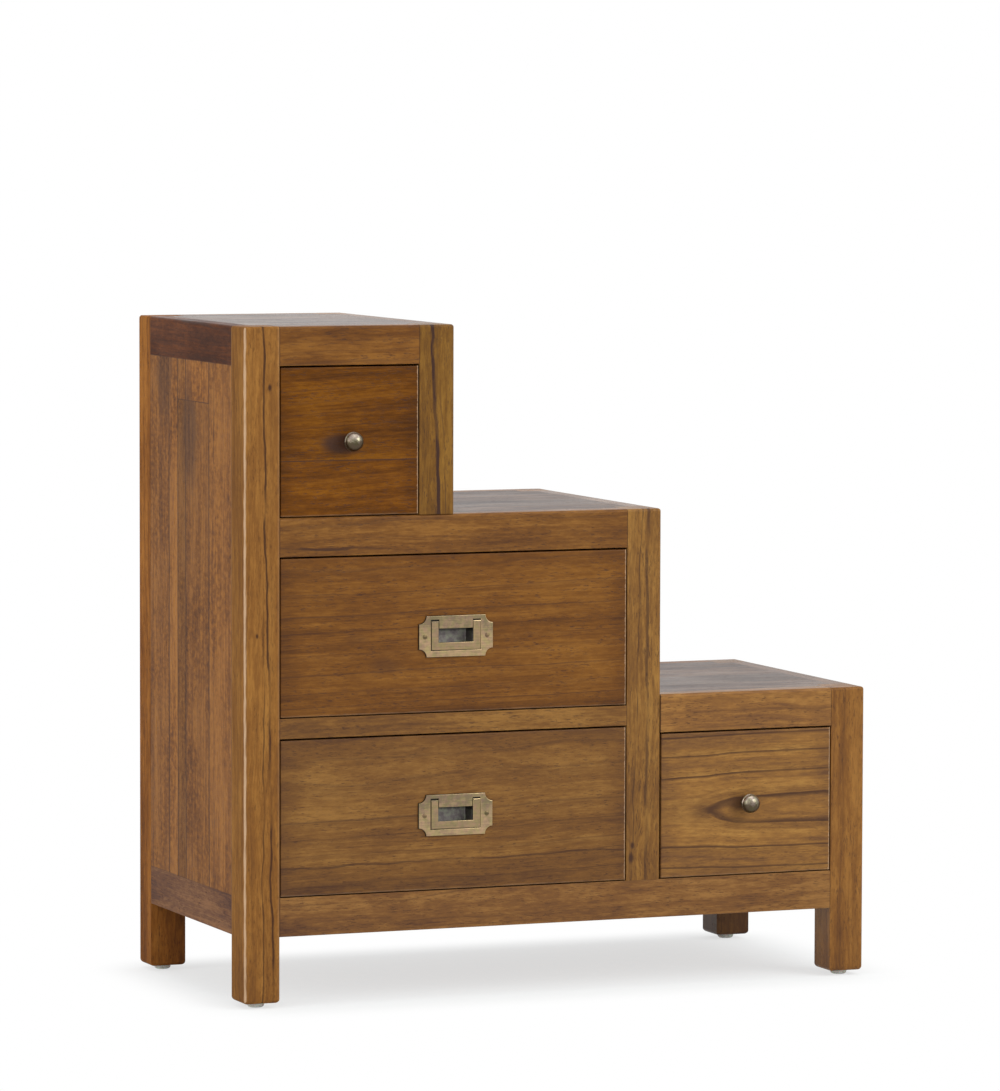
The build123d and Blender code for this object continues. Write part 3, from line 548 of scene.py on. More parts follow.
def wear_and_edge_light(shader, board, place, half, gaps, colour):
    """Rubs the stain thin on the edges, with painted highlights on the front left corner, the lower
    long edges and the right ends, and darkens the joints.
    """
    timber = settings("timber")
    edge = timber.edge_width
    spot = shader.apart(place)
    rough = board.noise(shader, place, 60, 400)
    uneven = shader.times(shader.minus(rough, 0.45), edge * 1.2)
    long_gap = shader.maths("MAXIMUM", *(gaps[axis] for axis in board.cross))

    def rubbed(gap, start, end, strength, share, below):
        """The colour below with this edge rubbed and lit by a painted highlight. The share is a
        soft step that weakens it.
        """
        gap = shader.plus(gap, uneven)
        mask = shader.smooth(gap, edge * start, edge * end, strength, 0.0)
        if share:
            mask = shader.times(mask, shader.smooth(*share))
        return shader.mix(mask, below, timber.rubbed)

    # painted highlight down the front left corner, partly rubbed stain
    if board.rub_and_highlight_corner:
        towards = shader.dot(place, board.rub_and_highlight_corner)
        share = (towards, half.x, half.x + half.y * 0.9, 0.1, 1.0)
        colour = rubbed(long_gap, 0.6, 1.5, board.rub_and_highlight, share, colour)
    # rubbed long edges, lighter on the lower edge as a painted highlight
    elif board.rub_and_highlight:
        upper = shader.maths("GREATER_THAN", spot["Z"], 0.0)
        share = (upper, 0.0, 1.0, 1.0, board.rub_and_highlight_top)
        colour = rubbed(long_gap, 0.4, 1.0, board.rub_and_highlight, share, colour)
    # painted highlight on the right end
    if board.right_end_highlight:
        right_gap = shader.minus(half.x, spot["X"])
        colour = rubbed(right_gap, 0.4, 1.0, board.right_end_highlight, None, colour)
    for gap, strength in ((long_gap, board.seam), (gaps[board.grain], board.ends)):
        if strength:
            joint = shader.smooth(gap, 0.0003, 0.0012, strength, 0.0)
            colour = shader.mix(joint, colour, timber.vein)
    return colour


def timber_material(name, node, board, seed):
    """Stained, lacquered timber for one piece, with its figure cut from a log."""
    timber = settings("timber")
    low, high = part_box(node)
    low = low + Vector(board.trim) + Vector(board.trim_low)
    high = high - Vector(board.trim)
    middle, half = (low + high) / 2, (high - low) / 2
    material, shader, place = new_material(name)
    place = shader.vector("SUBTRACT", place, middle)
    gaps = shader.apart(shader.vector("SUBTRACT", half, shader.vector("ABSOLUTE", place)))

    figured, shade, glue = place, 1.0, 0.0
    if board.seams:
        figured, shade, glue = glued_boards(shader, board, place, seed)
    if board.dip:
        start, end, depth = board.dip
        sunk = shader.smooth(shader.apart(place)[board.grain], start, end, 0.0, depth)
        figured = shader.vector("ADD", figured, shader.combined(y=sunk))
    marks = shader.times(glue, board.glue)
    figured, marks = knotted(shader, board, place, figured, marks)
    for vein in board.veins:
        marks = shader.maths("MAXIMUM", marks, vein_mask(shader, board, place, vein))
    figure = shader.node("Group", {
        "Place": figured, "Along": board.along, "Across": ALL - board.along,
        "Pith": board.pith, "Lean": board.lean, "Ring Width": board.ring,
        "Phase": board.phase, "Uneven": board.uneven, "Line Start": board.line_start,
        "Even": board.even, "Wander": board.wander, "Seed": seed,
    }, node_tree=timber_figure()).outputs
    rings, pores = figure["Rings"], figure["Pores"]
    marks = add_stain_and_shadow(shader, board, place, figure["Clouds"], marks)

    colour = stained(shader, board, place, figured, figure, gaps, shade)
    # the dark marks hold the painted shadows beside the knobs too
    for mask in (shader.times(rings, board.line), shader.times(pores, board.pores), marks):
        colour = shader.mix(mask, colour, timber.vein)
    colour = wear_and_edge_light(shader, board, place, half, gaps, colour)

    thin = board.wax or "left" in node      # rubbed back on the left side and under wax
    ior = board.ior or (timber.thin_lacquer_ior if thin else timber.lacquer_ior)
    gloss = shader.smooth(figure["Clouds"], 0.2, 0.8, 0.26, 0.38) if board.stain else 0.55
    rough = shader.maths("MULTIPLY_ADD", pores, 0.14, gloss)
    height = shader.maths("MULTIPLY_ADD", rings, -0.35, shader.times(pores, -1.0))
    height = shader.swung(figure["Lines"], 0.5, height)
    finish_material(
        shader, colour, rough, height, timber.pore_depth, 0.35 if board.stain else 0.5,
        {"IOR": ior, "Coat Weight": board.wax * timber.tread_wax, "Coat Roughness": 0.22})
    return material


# How each family of wooden pieces is sawn: start and end of the name, grain, and the rest.
FAMILIES = (
    ("post_", "", "Z", dict(pith=(0.05, 0.06, 0), ring=0.009, lean=(0.02, 0, 0))),
    ("rail_", "", "X", dict(
        trim=(TENON, 0, 0), pith=(0, 0.07, 0.05), ring=0.009, lean=(0, 0, 0.02), ends=0.6)),
    (("left_side_rails", "riser_rails"), "", "Y", dict(
        trim=(0, TENON, 0), pith=(0.09, 0, 0.05), ring=0.009, ends=0.6)),
    ("panel_", "", "Z", dict(
        trim=(0, TONGUE, TONGUE), pith=(0.12, 0.03, 0), seam=0.5, ends=0.6,
        seams=("Y", (-0.067, 0.016, 0.077)), shades=(1.0, 0.93, 1.05, 0.97))),
    (("step_board", "deck_board"), "", "X", dict(
        trim=(TONGUE, TONGUE, 0), pith=(0, 0.04, 0.10), seam=0.6, ends=0.6,
        tone=(0.36, 0.38, 0.62), contrast=1.7, wax=1.0,
        seams=("Y", (-0.09, 0.0, 0.085)), shades=(1.1, 0.85, 1.25, 0.95))),
    ("back_panel", "", "Z", dict(trim=(TONGUE, 0, TONGUE), pith=(0.04, 0.10, 0), ring=0.02)),
    ("dust_board", "", "X", dict(trim=(TONGUE, TONGUE, 0), pith=(0, 0.04, 0.10), ring=0.02)),
    ("", "_front", "X", dict(
        pith=(0, 0.05, 0.02), lean=(0, 0, 0.05), ring=0.020, pool=0.30,
        # lower edges rubbed and lit with a painted highlight, right ends with a painted highlight
        rub_and_highlight=0.13, rub_and_highlight_top=0.1, right_end_highlight=0.5)),
    ("", "_sides", "Y", dict(pith=(0.06, 0, 0.05), stain=False)),
    ("", "drawer_back", "X", dict(pith=(0, 0.09, 0.05), stain=False)),
    ("", "_bottom", "X", dict(pith=(0, 0.05, 0.09), stain=False)),
    ("drawer_runners", "", "Y", dict(pith=(0.05, 0, 0.05), stain=False)),
)

# What sets single pieces apart.
SINGLE_BOARDS = {
    "post_front_left": dict(
        tone=(1.06, 1.08, 1.18), ior=1.03, contrast=0.75, pores=0.4, line=0.3,
        # painted highlight down the front left corner, partly rubbed
        rub_and_highlight=0.85, rub_and_highlight_corner=(-1, -1, 0),
        veins=[("X", 0.008, -0.018, 0.0014, 0.85), ("X", 0.002, 0.0, 0.0009, 0.7, (0.12, 0.0))],
        knots=[((0.0097, -0.022, 0.326), 0.0028), ((-0.006, -0.022, 0.036), 0.002)]),
    "post_back_left": dict(tone=(1.14, 0.99, 0.95), ior=1.03),
    # the patch makes the lower end of the leg darker
    "post_back_right": dict(tone=(0.68, 0.70, 0.76), stain_and_shadow_patches=[((0, -0.01, -0.225), 0.13, 0.62)]),
    "post_front_upper": dict(
        tone=(0.76, 0.82, 0.68),
        veins=[("X", -0.002, -0.04, 0.0022, 1.7), ("X", 0.006, -0.05, 0.0008, 0.6, (0.06, -0.02))]),
    "post_front_middle": dict(
        tone=(0.93, 1.02, 1.12),
        veins=[("X", 0.004, 0.005, 0.0022, 0.65), ("X", -0.009, 0.03, 0.001, 0.6)],
        knots=[((-0.016, -0.022, -0.20), 0.0045), ((-0.014, -0.022, -0.185), 0.003)]),
    "post_front_right": dict(tone=(0.92, 0.92, 0.97), contrast=0.8),
    "left_side_rails": dict(
        tone=(0.42, 0.25, 0.14), lower_tone=(0.75, 0.74, 1.25), contrast=1.3, pale=-0.2,
        veins=[("Z", 0.357, 0.05, 0.0018, 0.8)]),
    "panel_left": dict(
        tone=(1.00, 0.88, 0.75), contrast=1.1, pores=0.45, line=0.3, flecks=0.5, ripple=1.15,
        seam=0.7, glue=0.75, glue_width=0.0026, butt=(0.263, 0, 2, 0.22),
        seams=("Y", (-0.067, 0.016, 0.045, 0.077)), shades=(1.03, 0.92, 0.72, 1.08, 0.98),
        stain_and_shadow_patches=[((-0.006, 0.004, 0.228), 0.036, 0.55), ((-0.006, 0.093, 0.290), 0.036, 0.45)]),
    "top_drawer_front": dict(
        tone=(0.60, 0.465, 0.145), ring=0.014, line=0.30, contrast=1.1,
        seams=("Z", (-0.0224,)), shades=(1.10, 0.96), glue=0.8,
        # painted shadow left of and below the knob
        stain_and_shadow_patches=[((-0.009, -0.011, -0.003), 0.013, 0.9)]),
    "upper_drawer_front": dict(
        tone=(0.74, 0.68, 0.58), pith=(0, 0.030, 0.10), lean=(0, 0, 0.02), ring=0.017,
        line=0.55, line_start=0.88, even=0.3, wander=0.010, contrast=0.8,
        stain_and_shadow_patches=[((-0.090, -0.011, -0.035), 0.014, 0.38), ((-0.125, -0.011, -0.003), 0.010, 0.26)]),
    "lower_drawer_front": dict(
        tone=(0.82, 0.88, 1.05), pith=(0, 0.05, 0.06), lean=(0, 0, 0.03), ring=0.017,
        line=0.52, line_start=0.88, even=0.3, contrast=0.8,
        veins=[("Z", -0.057, 0.01, 0.0012, 0.6)]),
    "low_drawer_front": dict(
        tone=(1.18, 1.32, 1.50), pith=(0, 0.02335, -0.009), lean=(0, -0.017, 0), ring=0.021,
        phase=0.313, uneven=0.0, dip=(-0.055, -0.010, 0.0033), wander=0.003,
        line=0.92, line_start=0.83, even=0.7, pool=0.22, pores=0.4, contrast=0.85,
        # the first patch is a dark smudge in the stain, the second a painted shadow left of and
        # below the knob
        stain_and_shadow_patches=[((-0.053, -0.011, -0.008), 0.012, 0.45), ((-0.008, -0.011, -0.002), 0.013, 0.75)]),
    "rail_front_low": dict(tone=(1.14, 1.24, 1.50), contrast=0.9),
    "rail_front_base": dict(tone=(0.88, 0.94, 1.26)),
    "rail_front_top": dict(tone=(0.72, 0.66, 0.60)),
    "rail_front_step": dict(
        tone=(0.78, 0.76, 0.78), veins=[("Z", -0.0165, -0.015, 0.0018, 0.8, (-0.05, -0.16))]),
    "rail_front_divider": dict(tone=(0.84, 0.90, 1.05)),
    "riser_rails": dict(tone=(0.62, 0.62, 0.76), wax=0.75),
    "rail_back_top": dict(wax=0.4),
    "rail_back_step": dict(wax=0.4),
    "rail_back_low": dict(wax=0.4),
    "step_board_high": dict(wax=0.84),
    "step_board_middle": dict(wax=0.48),
    "step_board_low": dict(wax=0.53),
}


def boards():
    """The board of every wooden piece."""
    table = {}
    for node in frame["nodes"]:
        for start, end, grain, values in FAMILIES:
            if node.startswith(start) and node.endswith(end):
                table[node] = Board(grain, **values)
                break
    for node, board in table.items():
        if node.startswith("post_") and node.endswith(("_upper", "_middle")):
            board.change(trim_low=(0, 0, STUB))
        board.change(**SINGLE_BOARDS.get(node, {}))
    return table


def assign(node, material):
    """Gives a CAD node its finish."""
    for slot in frame["nodes"][node].material_slots:
        slot.material = material


GOLDEN = 0.618                # spreads the seeds of the pieces
DRAWER_PARTS = ("_front", "_sides", "drawer_back", "_bottom", "drawer_runners")


def finish_timber(in_drawers):
    """Finishes the wooden pieces of the drawers, or all others."""
    table = boards()
    for index, node in enumerate(sorted(table)):
        if node.endswith(DRAWER_PARTS) == in_drawers:
            seed = 10 * (index * GOLDEN % 1)
            assign(node, timber_material("Timber " + node, node, table[node], seed))


# ======== metals and nylon
BRUSHING = Vector((35, 750, 750))             # noise cells to a metre
KNOB_BRUSHING = Vector((300, 300, 300))
PAN_BRUSHING = Vector((160, 160, 160))
SCREW_STEEL = (0.17, 0.13, 0.08)
SCREW_FILM = (0.07, 0.05, 0.03)
BAIL_SHADE = 0.76             # the bails are darker than the plates
COOL_TINT = (0.97, 1.0, 0.90)
WARM_TINT = (1.07, 0.96, 1.06)
EDGE_LIGHT = 1.7              # how much brighter the painted highlight on the front edge is
EDGE_SHADE = 0.4
FLANK_SHADE = 0.25


def edge_polish_and_light(shader, place, box, bright, dark, colour):
    """Paints a highlight on the front edge of a fitting, most on the right and also standing for
    polish, with painted shade on the left of the edge and painted shadow on its flanks.
    """
    low, high = box
    spot = shader.apart(place)
    behind = shader.minus(spot["Y"], low.y)
    for share, tone in (((0.0, 0.9), Vector(bright) * EDGE_LIGHT),
                        ((0.75, 0.0), Vector(dark) * EDGE_SHADE)):
        side = shader.smooth(spot["X"], low.x, high.x, *share)
        mask = shader.smooth(behind, 0.00003, 0.00010, 0.0, side)
        if share[1]:
            mask = shader.times(mask, shader.smooth(behind, 0.00018, 0.00034, 1.0, 0.0))
        colour = shader.mix(mask, colour, tone)
    flank = shader.smooth(behind, 0.00032, 0.0007, 0.0, 0.9)
    return shader.mix(flank, colour, Vector(dark) * FLANK_SHADE)


def brushed_metal(name, bright, dark, stretch, rough, wear, grime_and_shade=None, box=None):
    """Metal under an antique film: brush lines, clouds and small spots.

    Grime and shade is a height where the film is full, one where it ends, and its weight: painted
    shade on the lower part of a knob, painted shadow in the top of a pan, and a darker top on a
    plate or a bail. A piece whose box is given gets a painted highlight on its front edge,
    brightest on the right and also standing for polish, and painted shade on its left and flanks."""
    material, shader, place = new_material(name)
    brush = shader.noise(shader.vector("MULTIPLY", place, stretch), detail=3.0, roughness=0.7)
    cloud = shader.noise(place, 110.0, 4.0, 0.65)
    spots = shader.smooth(shader.noise(place, 900.0), 0.60, 0.72)
    film = shader.smooth(cloud, 0.35, 0.70, 0.0, wear)
    film = shader.plus(film, shader.smooth(brush, 0.3, 0.7, 0.0, 0.45))
    film = shader.plus(film, shader.times(spots, 0.15), clamp=True)
    if grime_and_shade:
        # painted shade on the knobs and painted shadow in the pans; on the plates and bails a
        # darker top
        grime_and_shade_film = shader.smooth(shader.apart(place)["Z"], *grime_and_shade, 0.0)
        film = shader.plus(film, grime_and_shade_film, clamp=True)
    warm = shader.smooth(shader.noise(place, 160.0), 0.35, 0.65)
    tint = shader.mix(warm, COOL_TINT, WARM_TINT)
    colour = shader.mix(1.0, shader.mix(film, bright, dark), tint, "MULTIPLY")
    # painted highlight and shade on the front edge, painted shadow on the flanks
    if box:
        colour = edge_polish_and_light(shader, place, box, bright, dark, colour)
    roughness = shader.smooth(brush, 0.3, 0.7, rough - 0.06, rough + 0.10)
    height = shader.plus(brush, shader.times(spots, -0.4))
    finish_material(shader, colour, roughness, height, 0.00005, 0.35, {"Metallic": 1.0})
    return material


def nylon_material():
    material, shader, place = new_material("Milky Nylon")
    cloud = shader.smooth(shader.noise(place, 240.0), 0.3, 0.7, 0.93, 1.04)
    colour = shader.scaled(settings("fitting").nylon, cloud)
    scuff = shader.noise(place, 1400.0)
    finish_material(
        shader, colour, shader.smooth(scuff, 0.3, 0.7, 0.38, 0.52), scuff, 0.00003, 0.3,
        {"Subsurface Weight": 0.2, "Subsurface Scale": 0.002})
    return material


# ======== mesh helpers
SHARP = math.radians(35)
RING_CORNER = math.radians(30)
FIT = 0.00005                 # how far rounding may take a piece past its CAD node
OUT_OF_DRAWER = Matrix.Rotation(math.pi / 2, 3, "X")    # turns +Z to -Y


def verts_of(geometry):
    return [item for item in geometry if isinstance(item, bmesh.types.BMVert)]


def rounded(bm, geometry, radius, segments, affect="EDGES"):
    bmesh.ops.bevel(
        bm, geom=geometry, offset=radius, segments=segments, profile=0.5, affect=affect,
        material=-1, clamp_overlap=True)


def in_scene(name, data):
    made = bpy.data.objects.new(name, data)
    bpy.context.scene.collection.objects.link(made)
    return made


def meshed(bm, name, material):
    """A finished bmesh as an object."""
    mesh = bpy.data.meshes.new(name)
    bm.to_mesh(mesh)
    bm.free()
    mesh.materials.append(material)
    return in_scene(name, mesh)


def publish(bm, name, node, material):
    """Turns a finished bmesh into a piece that stands for a CAD node and keeps within it."""
    bmesh.ops.remove_doubles(bm, verts=bm.verts, dist=1e-7)
    bmesh.ops.recalc_face_normals(bm, faces=bm.faces)
    piece = meshed(bm, name, material)
    piece.data.shade_smooth()
    piece.data.set_sharp_from_angle(angle=SHARP)
    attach(piece, frame["nodes"][node]["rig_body"])
    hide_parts(node)
    low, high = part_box(node)
    for axis in range(3):
        spots = [vertex.co[axis] for vertex in piece.data.vertices]
        past = max(low[axis] - min(spots), max(spots) - high[axis])
        if past > FIT:
            raise ValueError(f"{name} is {past / MM:.3f} mm larger than {node} along axis {axis}")


def turned(outline, soften=0.0):
    """A turned solid about Z, from an outline of (radius, height), with softened rings."""
    bm = bmesh.new()
    corners = [bm.verts.new((radius, 0, height)) for radius, height in outline]
    profile = corners + [bm.edges.new(pair) for pair in zip(corners, corners[1:])]
    bmesh.ops.spin(
        bm, geom=profile, cent=(0, 0, 0), axis=(0, 0, 1), dvec=(0, 0, 0), angle=math.tau,
        steps=settings("fitting").turned_steps, use_merge=True)
    bmesh.ops.remove_doubles(bm, verts=bm.verts, dist=1e-4)
    bmesh.ops.recalc_face_normals(bm, faces=bm.faces)
    if soften:
        rings = [edge for edge in bm.edges if edge.calc_face_angle(0) > RING_CORNER]
        rounded(bm, rings, soften, 2)
    return bm


def arc(start, middle, end, steps):
    """Places on the circle through three places of an outline, without the first."""
    first, mid, last = (complex(*place) for place in (start, middle, end))
    b, c = mid - first, last - first
    centre = first + (abs(b) ** 2 * c - abs(c) ** 2 * b) / (b.conjugate() * c - b * c.conjugate())
    half, sweep = (cmath.phase((place - centre) / (first - centre)) for place in (mid, last))
    if abs(half) > abs(sweep):
        sweep -= math.copysign(math.tau, sweep)
    turns = (cmath.rect(1, sweep * step / steps) for step in range(1, steps + 1))
    spots = [centre + (first - centre) * turn for turn in turns]
    return [(spot.real, spot.imag) for spot in spots]


def place_all(bm, places, turn=OUT_OF_DRAWER):
    """Millimetres to metres, turned, and the same piece again at each place."""
    bmesh.ops.scale(bm, verts=bm.verts, vec=(MM, MM, MM))
    bmesh.ops.rotate(bm, verts=bm.verts, cent=(0, 0, 0), matrix=turn)
    first = bm.verts[:] + bm.edges[:] + bm.faces[:]
    for place in places[1:]:
        copy = bmesh.ops.duplicate(bm, geom=first)["geom"]
        bmesh.ops.translate(bm, verts=verts_of(copy), vec=place)
    bmesh.ops.translate(bm, verts=verts_of(first), vec=places[0])


# Outlines in millimetres: radius, and height out of the drawer, the plate or the floor.
KNOB_HEIGHT = 24.0
KNOB_STUD = [(0, -16.0), (2.0, -16.0), (2.0, 0)]
KNOB_BASE = [(7.0, 0), (7.0, 1.7), (6.3, 2.4)]
KNOB_WAIST = (4.6, 6.5)
KNOB_HEAD = [(10.8, 10.6), (11.5, 11.3), (11.5, 13.3), (10.8, 14.0), (10.4, 14.55), (11.2, 15.1)]
KNOB_SHOULDER = (7.153, 21.504)
SCREW_SHANK = [(0, -16.0), (1.5, -16.0), (1.5, -1.6), (2.9, 0)]
SCREW_SHOULDER = (1.508, 0.3675)
SCREW_DOME = 0.49
SLOT_HALF = 0.4
SLOT_DEPTH = 0.9
SLOT_SHARE = 0.72             # length of the slot's floor, as a share of its mouth
GLIDE_FOOT = [(0, 0), (6.5, 0)]
GLIDE_CURVE = (8.975, 1.025)
GLIDE_NAIL = [(10.0, 3.5), (10.0, 6.0), (1.2, 6.0), (1.2, 21.0), (0, 21.0)]
GLIDE_RADIUS = 10.0


def knob_mesh():
    """A mushroom knob: stud, ringed base, hollow waist and a banded head with a dome."""
    outline = KNOB_STUD + KNOB_BASE + arc(KNOB_BASE[-1], KNOB_WAIST, KNOB_HEAD[0], 12)
    outline += KNOB_HEAD[1:] + arc(KNOB_HEAD[-1], KNOB_SHOULDER, (0, KNOB_HEIGHT), 12)
    return turned(outline, 0.25)


def glide_mesh():
    """A round nylon foot with a nail."""
    curve = arc(GLIDE_FOOT[-1], GLIDE_CURVE, GLIDE_NAIL[0], 6)
    return turned(GLIDE_FOOT + curve + GLIDE_NAIL[1:], 0.2)


def screw_mesh():
    """A countersunk screw with a low dome, slotted across."""
    bm = turned(SCREW_SHANK + arc(SCREW_SHANK[-1], SCREW_SHOULDER, (0, SCREW_DOME), 5))
    for side in (-SLOT_HALF, SLOT_HALF):
        bmesh.ops.bisect_plane(
            bm, geom=bm.verts[:] + bm.edges[:] + bm.faces[:], plane_co=(0, side, 0),
            plane_no=(0, 1, 0), dist=1e-5)
    middles = {face: face.calc_center_median() for face in bm.faces}
    top = [face for face, middle in middles.items()
           if face.normal.z > 0.5 and abs(middle.y) < SLOT_HALF and middle.z > 0]
    sunk = verts_of(bmesh.ops.extrude_face_region(bm, geom=top)["geom"])
    bmesh.ops.scale(bm, verts=sunk, vec=(SLOT_SHARE, 1, 0))
    bmesh.ops.translate(bm, verts=sunk, vec=(0, 0, SCREW_DOME - SLOT_DEPTH))
    return bm


# Pan behind a pull, in millimetres from the middle of its plate, as it's seen from the front.
PAN_MOUTH = Vector((44.2, 26.5))
PAN_MOUTH_MIDDLE = -0.25
PAN_FLANGE_BOTTOM = 21.3      # middle of the plate down to the lower edge of the flange
PAN_DEPTH = 16.5
PAN_TAPER = math.radians(7)
PAN_CORNER = 2.5
PAN_SHEET = 1.0
PAN_FLOOR_BEND = 1.5
PAN_RIM_BEND = 0.5


def pan_mesh(width, height):
    """A pan pressed from sheet: a flange of the given size round a tapering cup."""
    bm = bmesh.new()
    at_mouth = Matrix.Translation((0, -PAN_MOUTH_MIDDLE, 0))

    def resize(verts, x, y):
        """Makes an outline of the mouth's size this wide and high."""
        bmesh.ops.scale(
            bm, verts=verts, vec=(x / PAN_MOUTH.x, y / PAN_MOUTH.y, 1), space=at_mouth)

    bmesh.ops.create_grid(bm, x_segments=1, y_segments=1, size=0.5)
    bmesh.ops.scale(bm, verts=bm.verts, vec=(*PAN_MOUTH, 1))
    rounded(bm, bm.verts[:], PAN_CORNER, 5, "VERTICES")
    bmesh.ops.translate(bm, verts=bm.verts, vec=(0, PAN_MOUTH_MIDDLE, 0))
    mouth, rim = bm.faces[:], bm.edges[:]
    flange = verts_of(bmesh.ops.extrude_edge_only(bm, edges=rim)["geom"])
    resize(flange, width, height)
    lift = height / 2 - PAN_FLANGE_BOTTOM - PAN_MOUTH_MIDDLE
    bmesh.ops.translate(bm, verts=flange, vec=(0, lift, 0))
    cup = bmesh.ops.extrude_face_region(bm, geom=mouth)["geom"]
    floor = verts_of(cup)
    shrink = 2 * PAN_DEPTH * math.tan(PAN_TAPER)
    resize(floor, PAN_MOUTH.x - shrink, PAN_MOUTH.y - shrink)
    bmesh.ops.translate(bm, verts=floor, vec=(0, 0, -PAN_DEPTH))
    bmesh.ops.delete(bm, geom=[face for face in mouth if face.is_valid], context="FACES_ONLY")
    bmesh.ops.recalc_face_normals(bm, faces=bm.faces)
    bottom = next(item for item in cup if isinstance(item, bmesh.types.BMFace))
    if bottom.normal.z < 0:
        bmesh.ops.reverse_faces(bm, faces=bm.faces)
    for radius, edges in ((PAN_FLOOR_BEND, bottom.edges[:]), (PAN_RIM_BEND, rim)):
        rounded(bm, [edge for edge in edges if edge.is_valid], radius, 3)
    bmesh.ops.solidify(bm, geom=bm.faces[:], thickness=PAN_SHEET)
    return bm


# ======== operators
class STEPCHEST_OT_finish_frame(bpy.types.Operator):
    """Stain and lacquer the posts, rails, panels, treads and back"""

    bl_idname = "stepchest.finish_frame"
    bl_label = "Finish Frame and Panels"

    def execute(self, context):
        finish_timber(in_drawers=False)
        return {"FINISHED"}


class STEPCHEST_OT_finish_drawers(bpy.types.Operator):
    """Stain the drawer fronts and leave the drawer boxes and runners pale"""

    bl_idname = "stepchest.finish_drawers"
    bl_label = "Finish Drawers"

    def execute(self, context):
        finish_timber(in_drawers=True)
        return {"FINISHED"}


class STEPCHEST_OT_knobs(bpy.types.Operator):
    """Turn the knobs of the two small drawers"""

    bl_idname = "stepchest.knobs"
    bl_label = "Turn Knobs"

    def execute(self, context):
        fitting = settings("fitting")
        for drawer in KNOB_DRAWERS:
            node = drawer + "_knob"
            low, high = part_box(node)
            middle = (low + high) / 2
            # painted shade: the film thickens towards the lower part, so the knob is darker below
            grime_and_shade = (low.lerp(high, 0.2).z, low.lerp(high, 0.9).z, 1.0)
            bronze = brushed_metal(
                "Bronze " + node, fitting.knob_bronze, Vector(fitting.patina) * 0.45,
                KNOB_BRUSHING, 0.34, 0.15, grime_and_shade)
            bm = knob_mesh()
            place_all(bm, [(middle.x, low.y + KNOB_HEIGHT * MM, middle.z)])
            publish(bm, drawer + "_turned_knob", node, bronze)
        return {"FINISHED"}


class STEPCHEST_OT_pulls(bpy.types.Operator):
    """Brush the plates and bails, press the pans and cut the screws of the two flush pulls"""

    bl_idname = "stepchest.pulls"
    bl_label = "Make Flush Pulls"

    def execute(self, context):
        fitting = settings("fitting")
        brass, patina = Vector(fitting.brass), Vector(fitting.patina)
        dark = brushed_metal("Dark Brass", brass * 0.5, patina * 0.4, BRUSHING, 0.42, 0.4)
        for drawer in PULL_DRAWERS:
            for node in (drawer + "_pull_plate", drawer + "_pull_bail"):
                low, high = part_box(node)
                # plates darker towards the top, bails darker along the top edge
                bright, grime_and_shade = brass, (high.z, low.lerp(high, 0.35).z, 0.55)
                if node.endswith("bail"):
                    bright, grime_and_shade = brass * BAIL_SHADE, (high.z - 0.0008, high.z - 0.003, 1.0)
                assign(node, brushed_metal(
                    "Brass " + node, bright, patina, BRUSHING, 0.34, 0.45, grime_and_shade, (low, high)))
            self.pan(drawer, Vector(fitting.pan_grey))
            self.screws(drawer, dark)
        return {"FINISHED"}

    def pan(self, drawer, grey):
        node = drawer + "_pull_pan"
        low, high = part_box(node)
        mouth_top = low.z + (PAN_FLANGE_BOTTOM + PAN_MOUTH_MIDDLE + PAN_MOUTH.y / 2) * MM
        # painted shadow in the top of the pan, under the plate's edge
        grime_and_shade = (mouth_top - 0.005, mouth_top - 0.010, 1.2)
        material = brushed_metal(
            "Grey " + node, grey, grey * 0.35, PAN_BRUSHING, 0.45, 0.1, grime_and_shade)
        bm = pan_mesh((high.x - low.x) / MM, (high.z - low.z) / MM)
        place_all(bm, [((low.x + high.x) / 2, low.y, low.z + PAN_FLANGE_BOTTOM * MM)])
        publish(bm, drawer + "_pressed_pan", node, material)

    def screws(self, drawer, material):
        node = drawer + "_pull_screws"
        low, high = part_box(node)
        head = SCREW_SHANK[-1][0] * MM
        out, up = low.y + SCREW_DOME * MM, (low.z + high.z) / 2
        bm = screw_mesh()
        place_all(bm, [(x, out, up) for x in (low.x + head, high.x - head)])
        publish(bm, drawer + "_slotted_screws", node, material)


class STEPCHEST_OT_glides(bpy.types.Operator):
    """Mould the glides under the legs, and finish the runner screws"""

    bl_idname = "stepchest.glides"
    bl_label = "Make Glides"

    def execute(self, context):
        low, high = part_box("glides")
        radius = GLIDE_RADIUS * MM
        places = [(x, y, low.z) for x in (low.x + radius, high.x - radius)
                  for y in (low.y + radius, high.y - radius)]
        bm = glide_mesh()
        place_all(bm, places, Matrix.Identity(3))
        publish(bm, "moulded_glides", "glides", nylon_material())
        steel = brushed_metal("Screw Steel", SCREW_STEEL, SCREW_FILM, BRUSHING, 0.42, 0.3)
        assign("runner_screws", steel)
        return {"FINISHED"}


WHITE = (1, 1, 1)
FLOOR_HALF = 14.0
SHADOW_HALF = Vector((0.36, 0.165, 0))    # the floor keeps its shadow this far from its middle
FADE_WIDTH = 0.135            # and turns plain white over this distance
FLOOR_LIFT = 0.66             # share of plain white that shows through the shadow
SOFTBOXES = (                 # name, place and width
    ("Key", (2.3, -2.9, 2.5), 2.4),
    ("Fill", (-2.1, -3.0, 1.7), 2.2),
    ("Side", (-3.4, -0.9, 1.5), 2.2),
    ("Top", (0.1, -0.2, 3.2), 3.0),
)


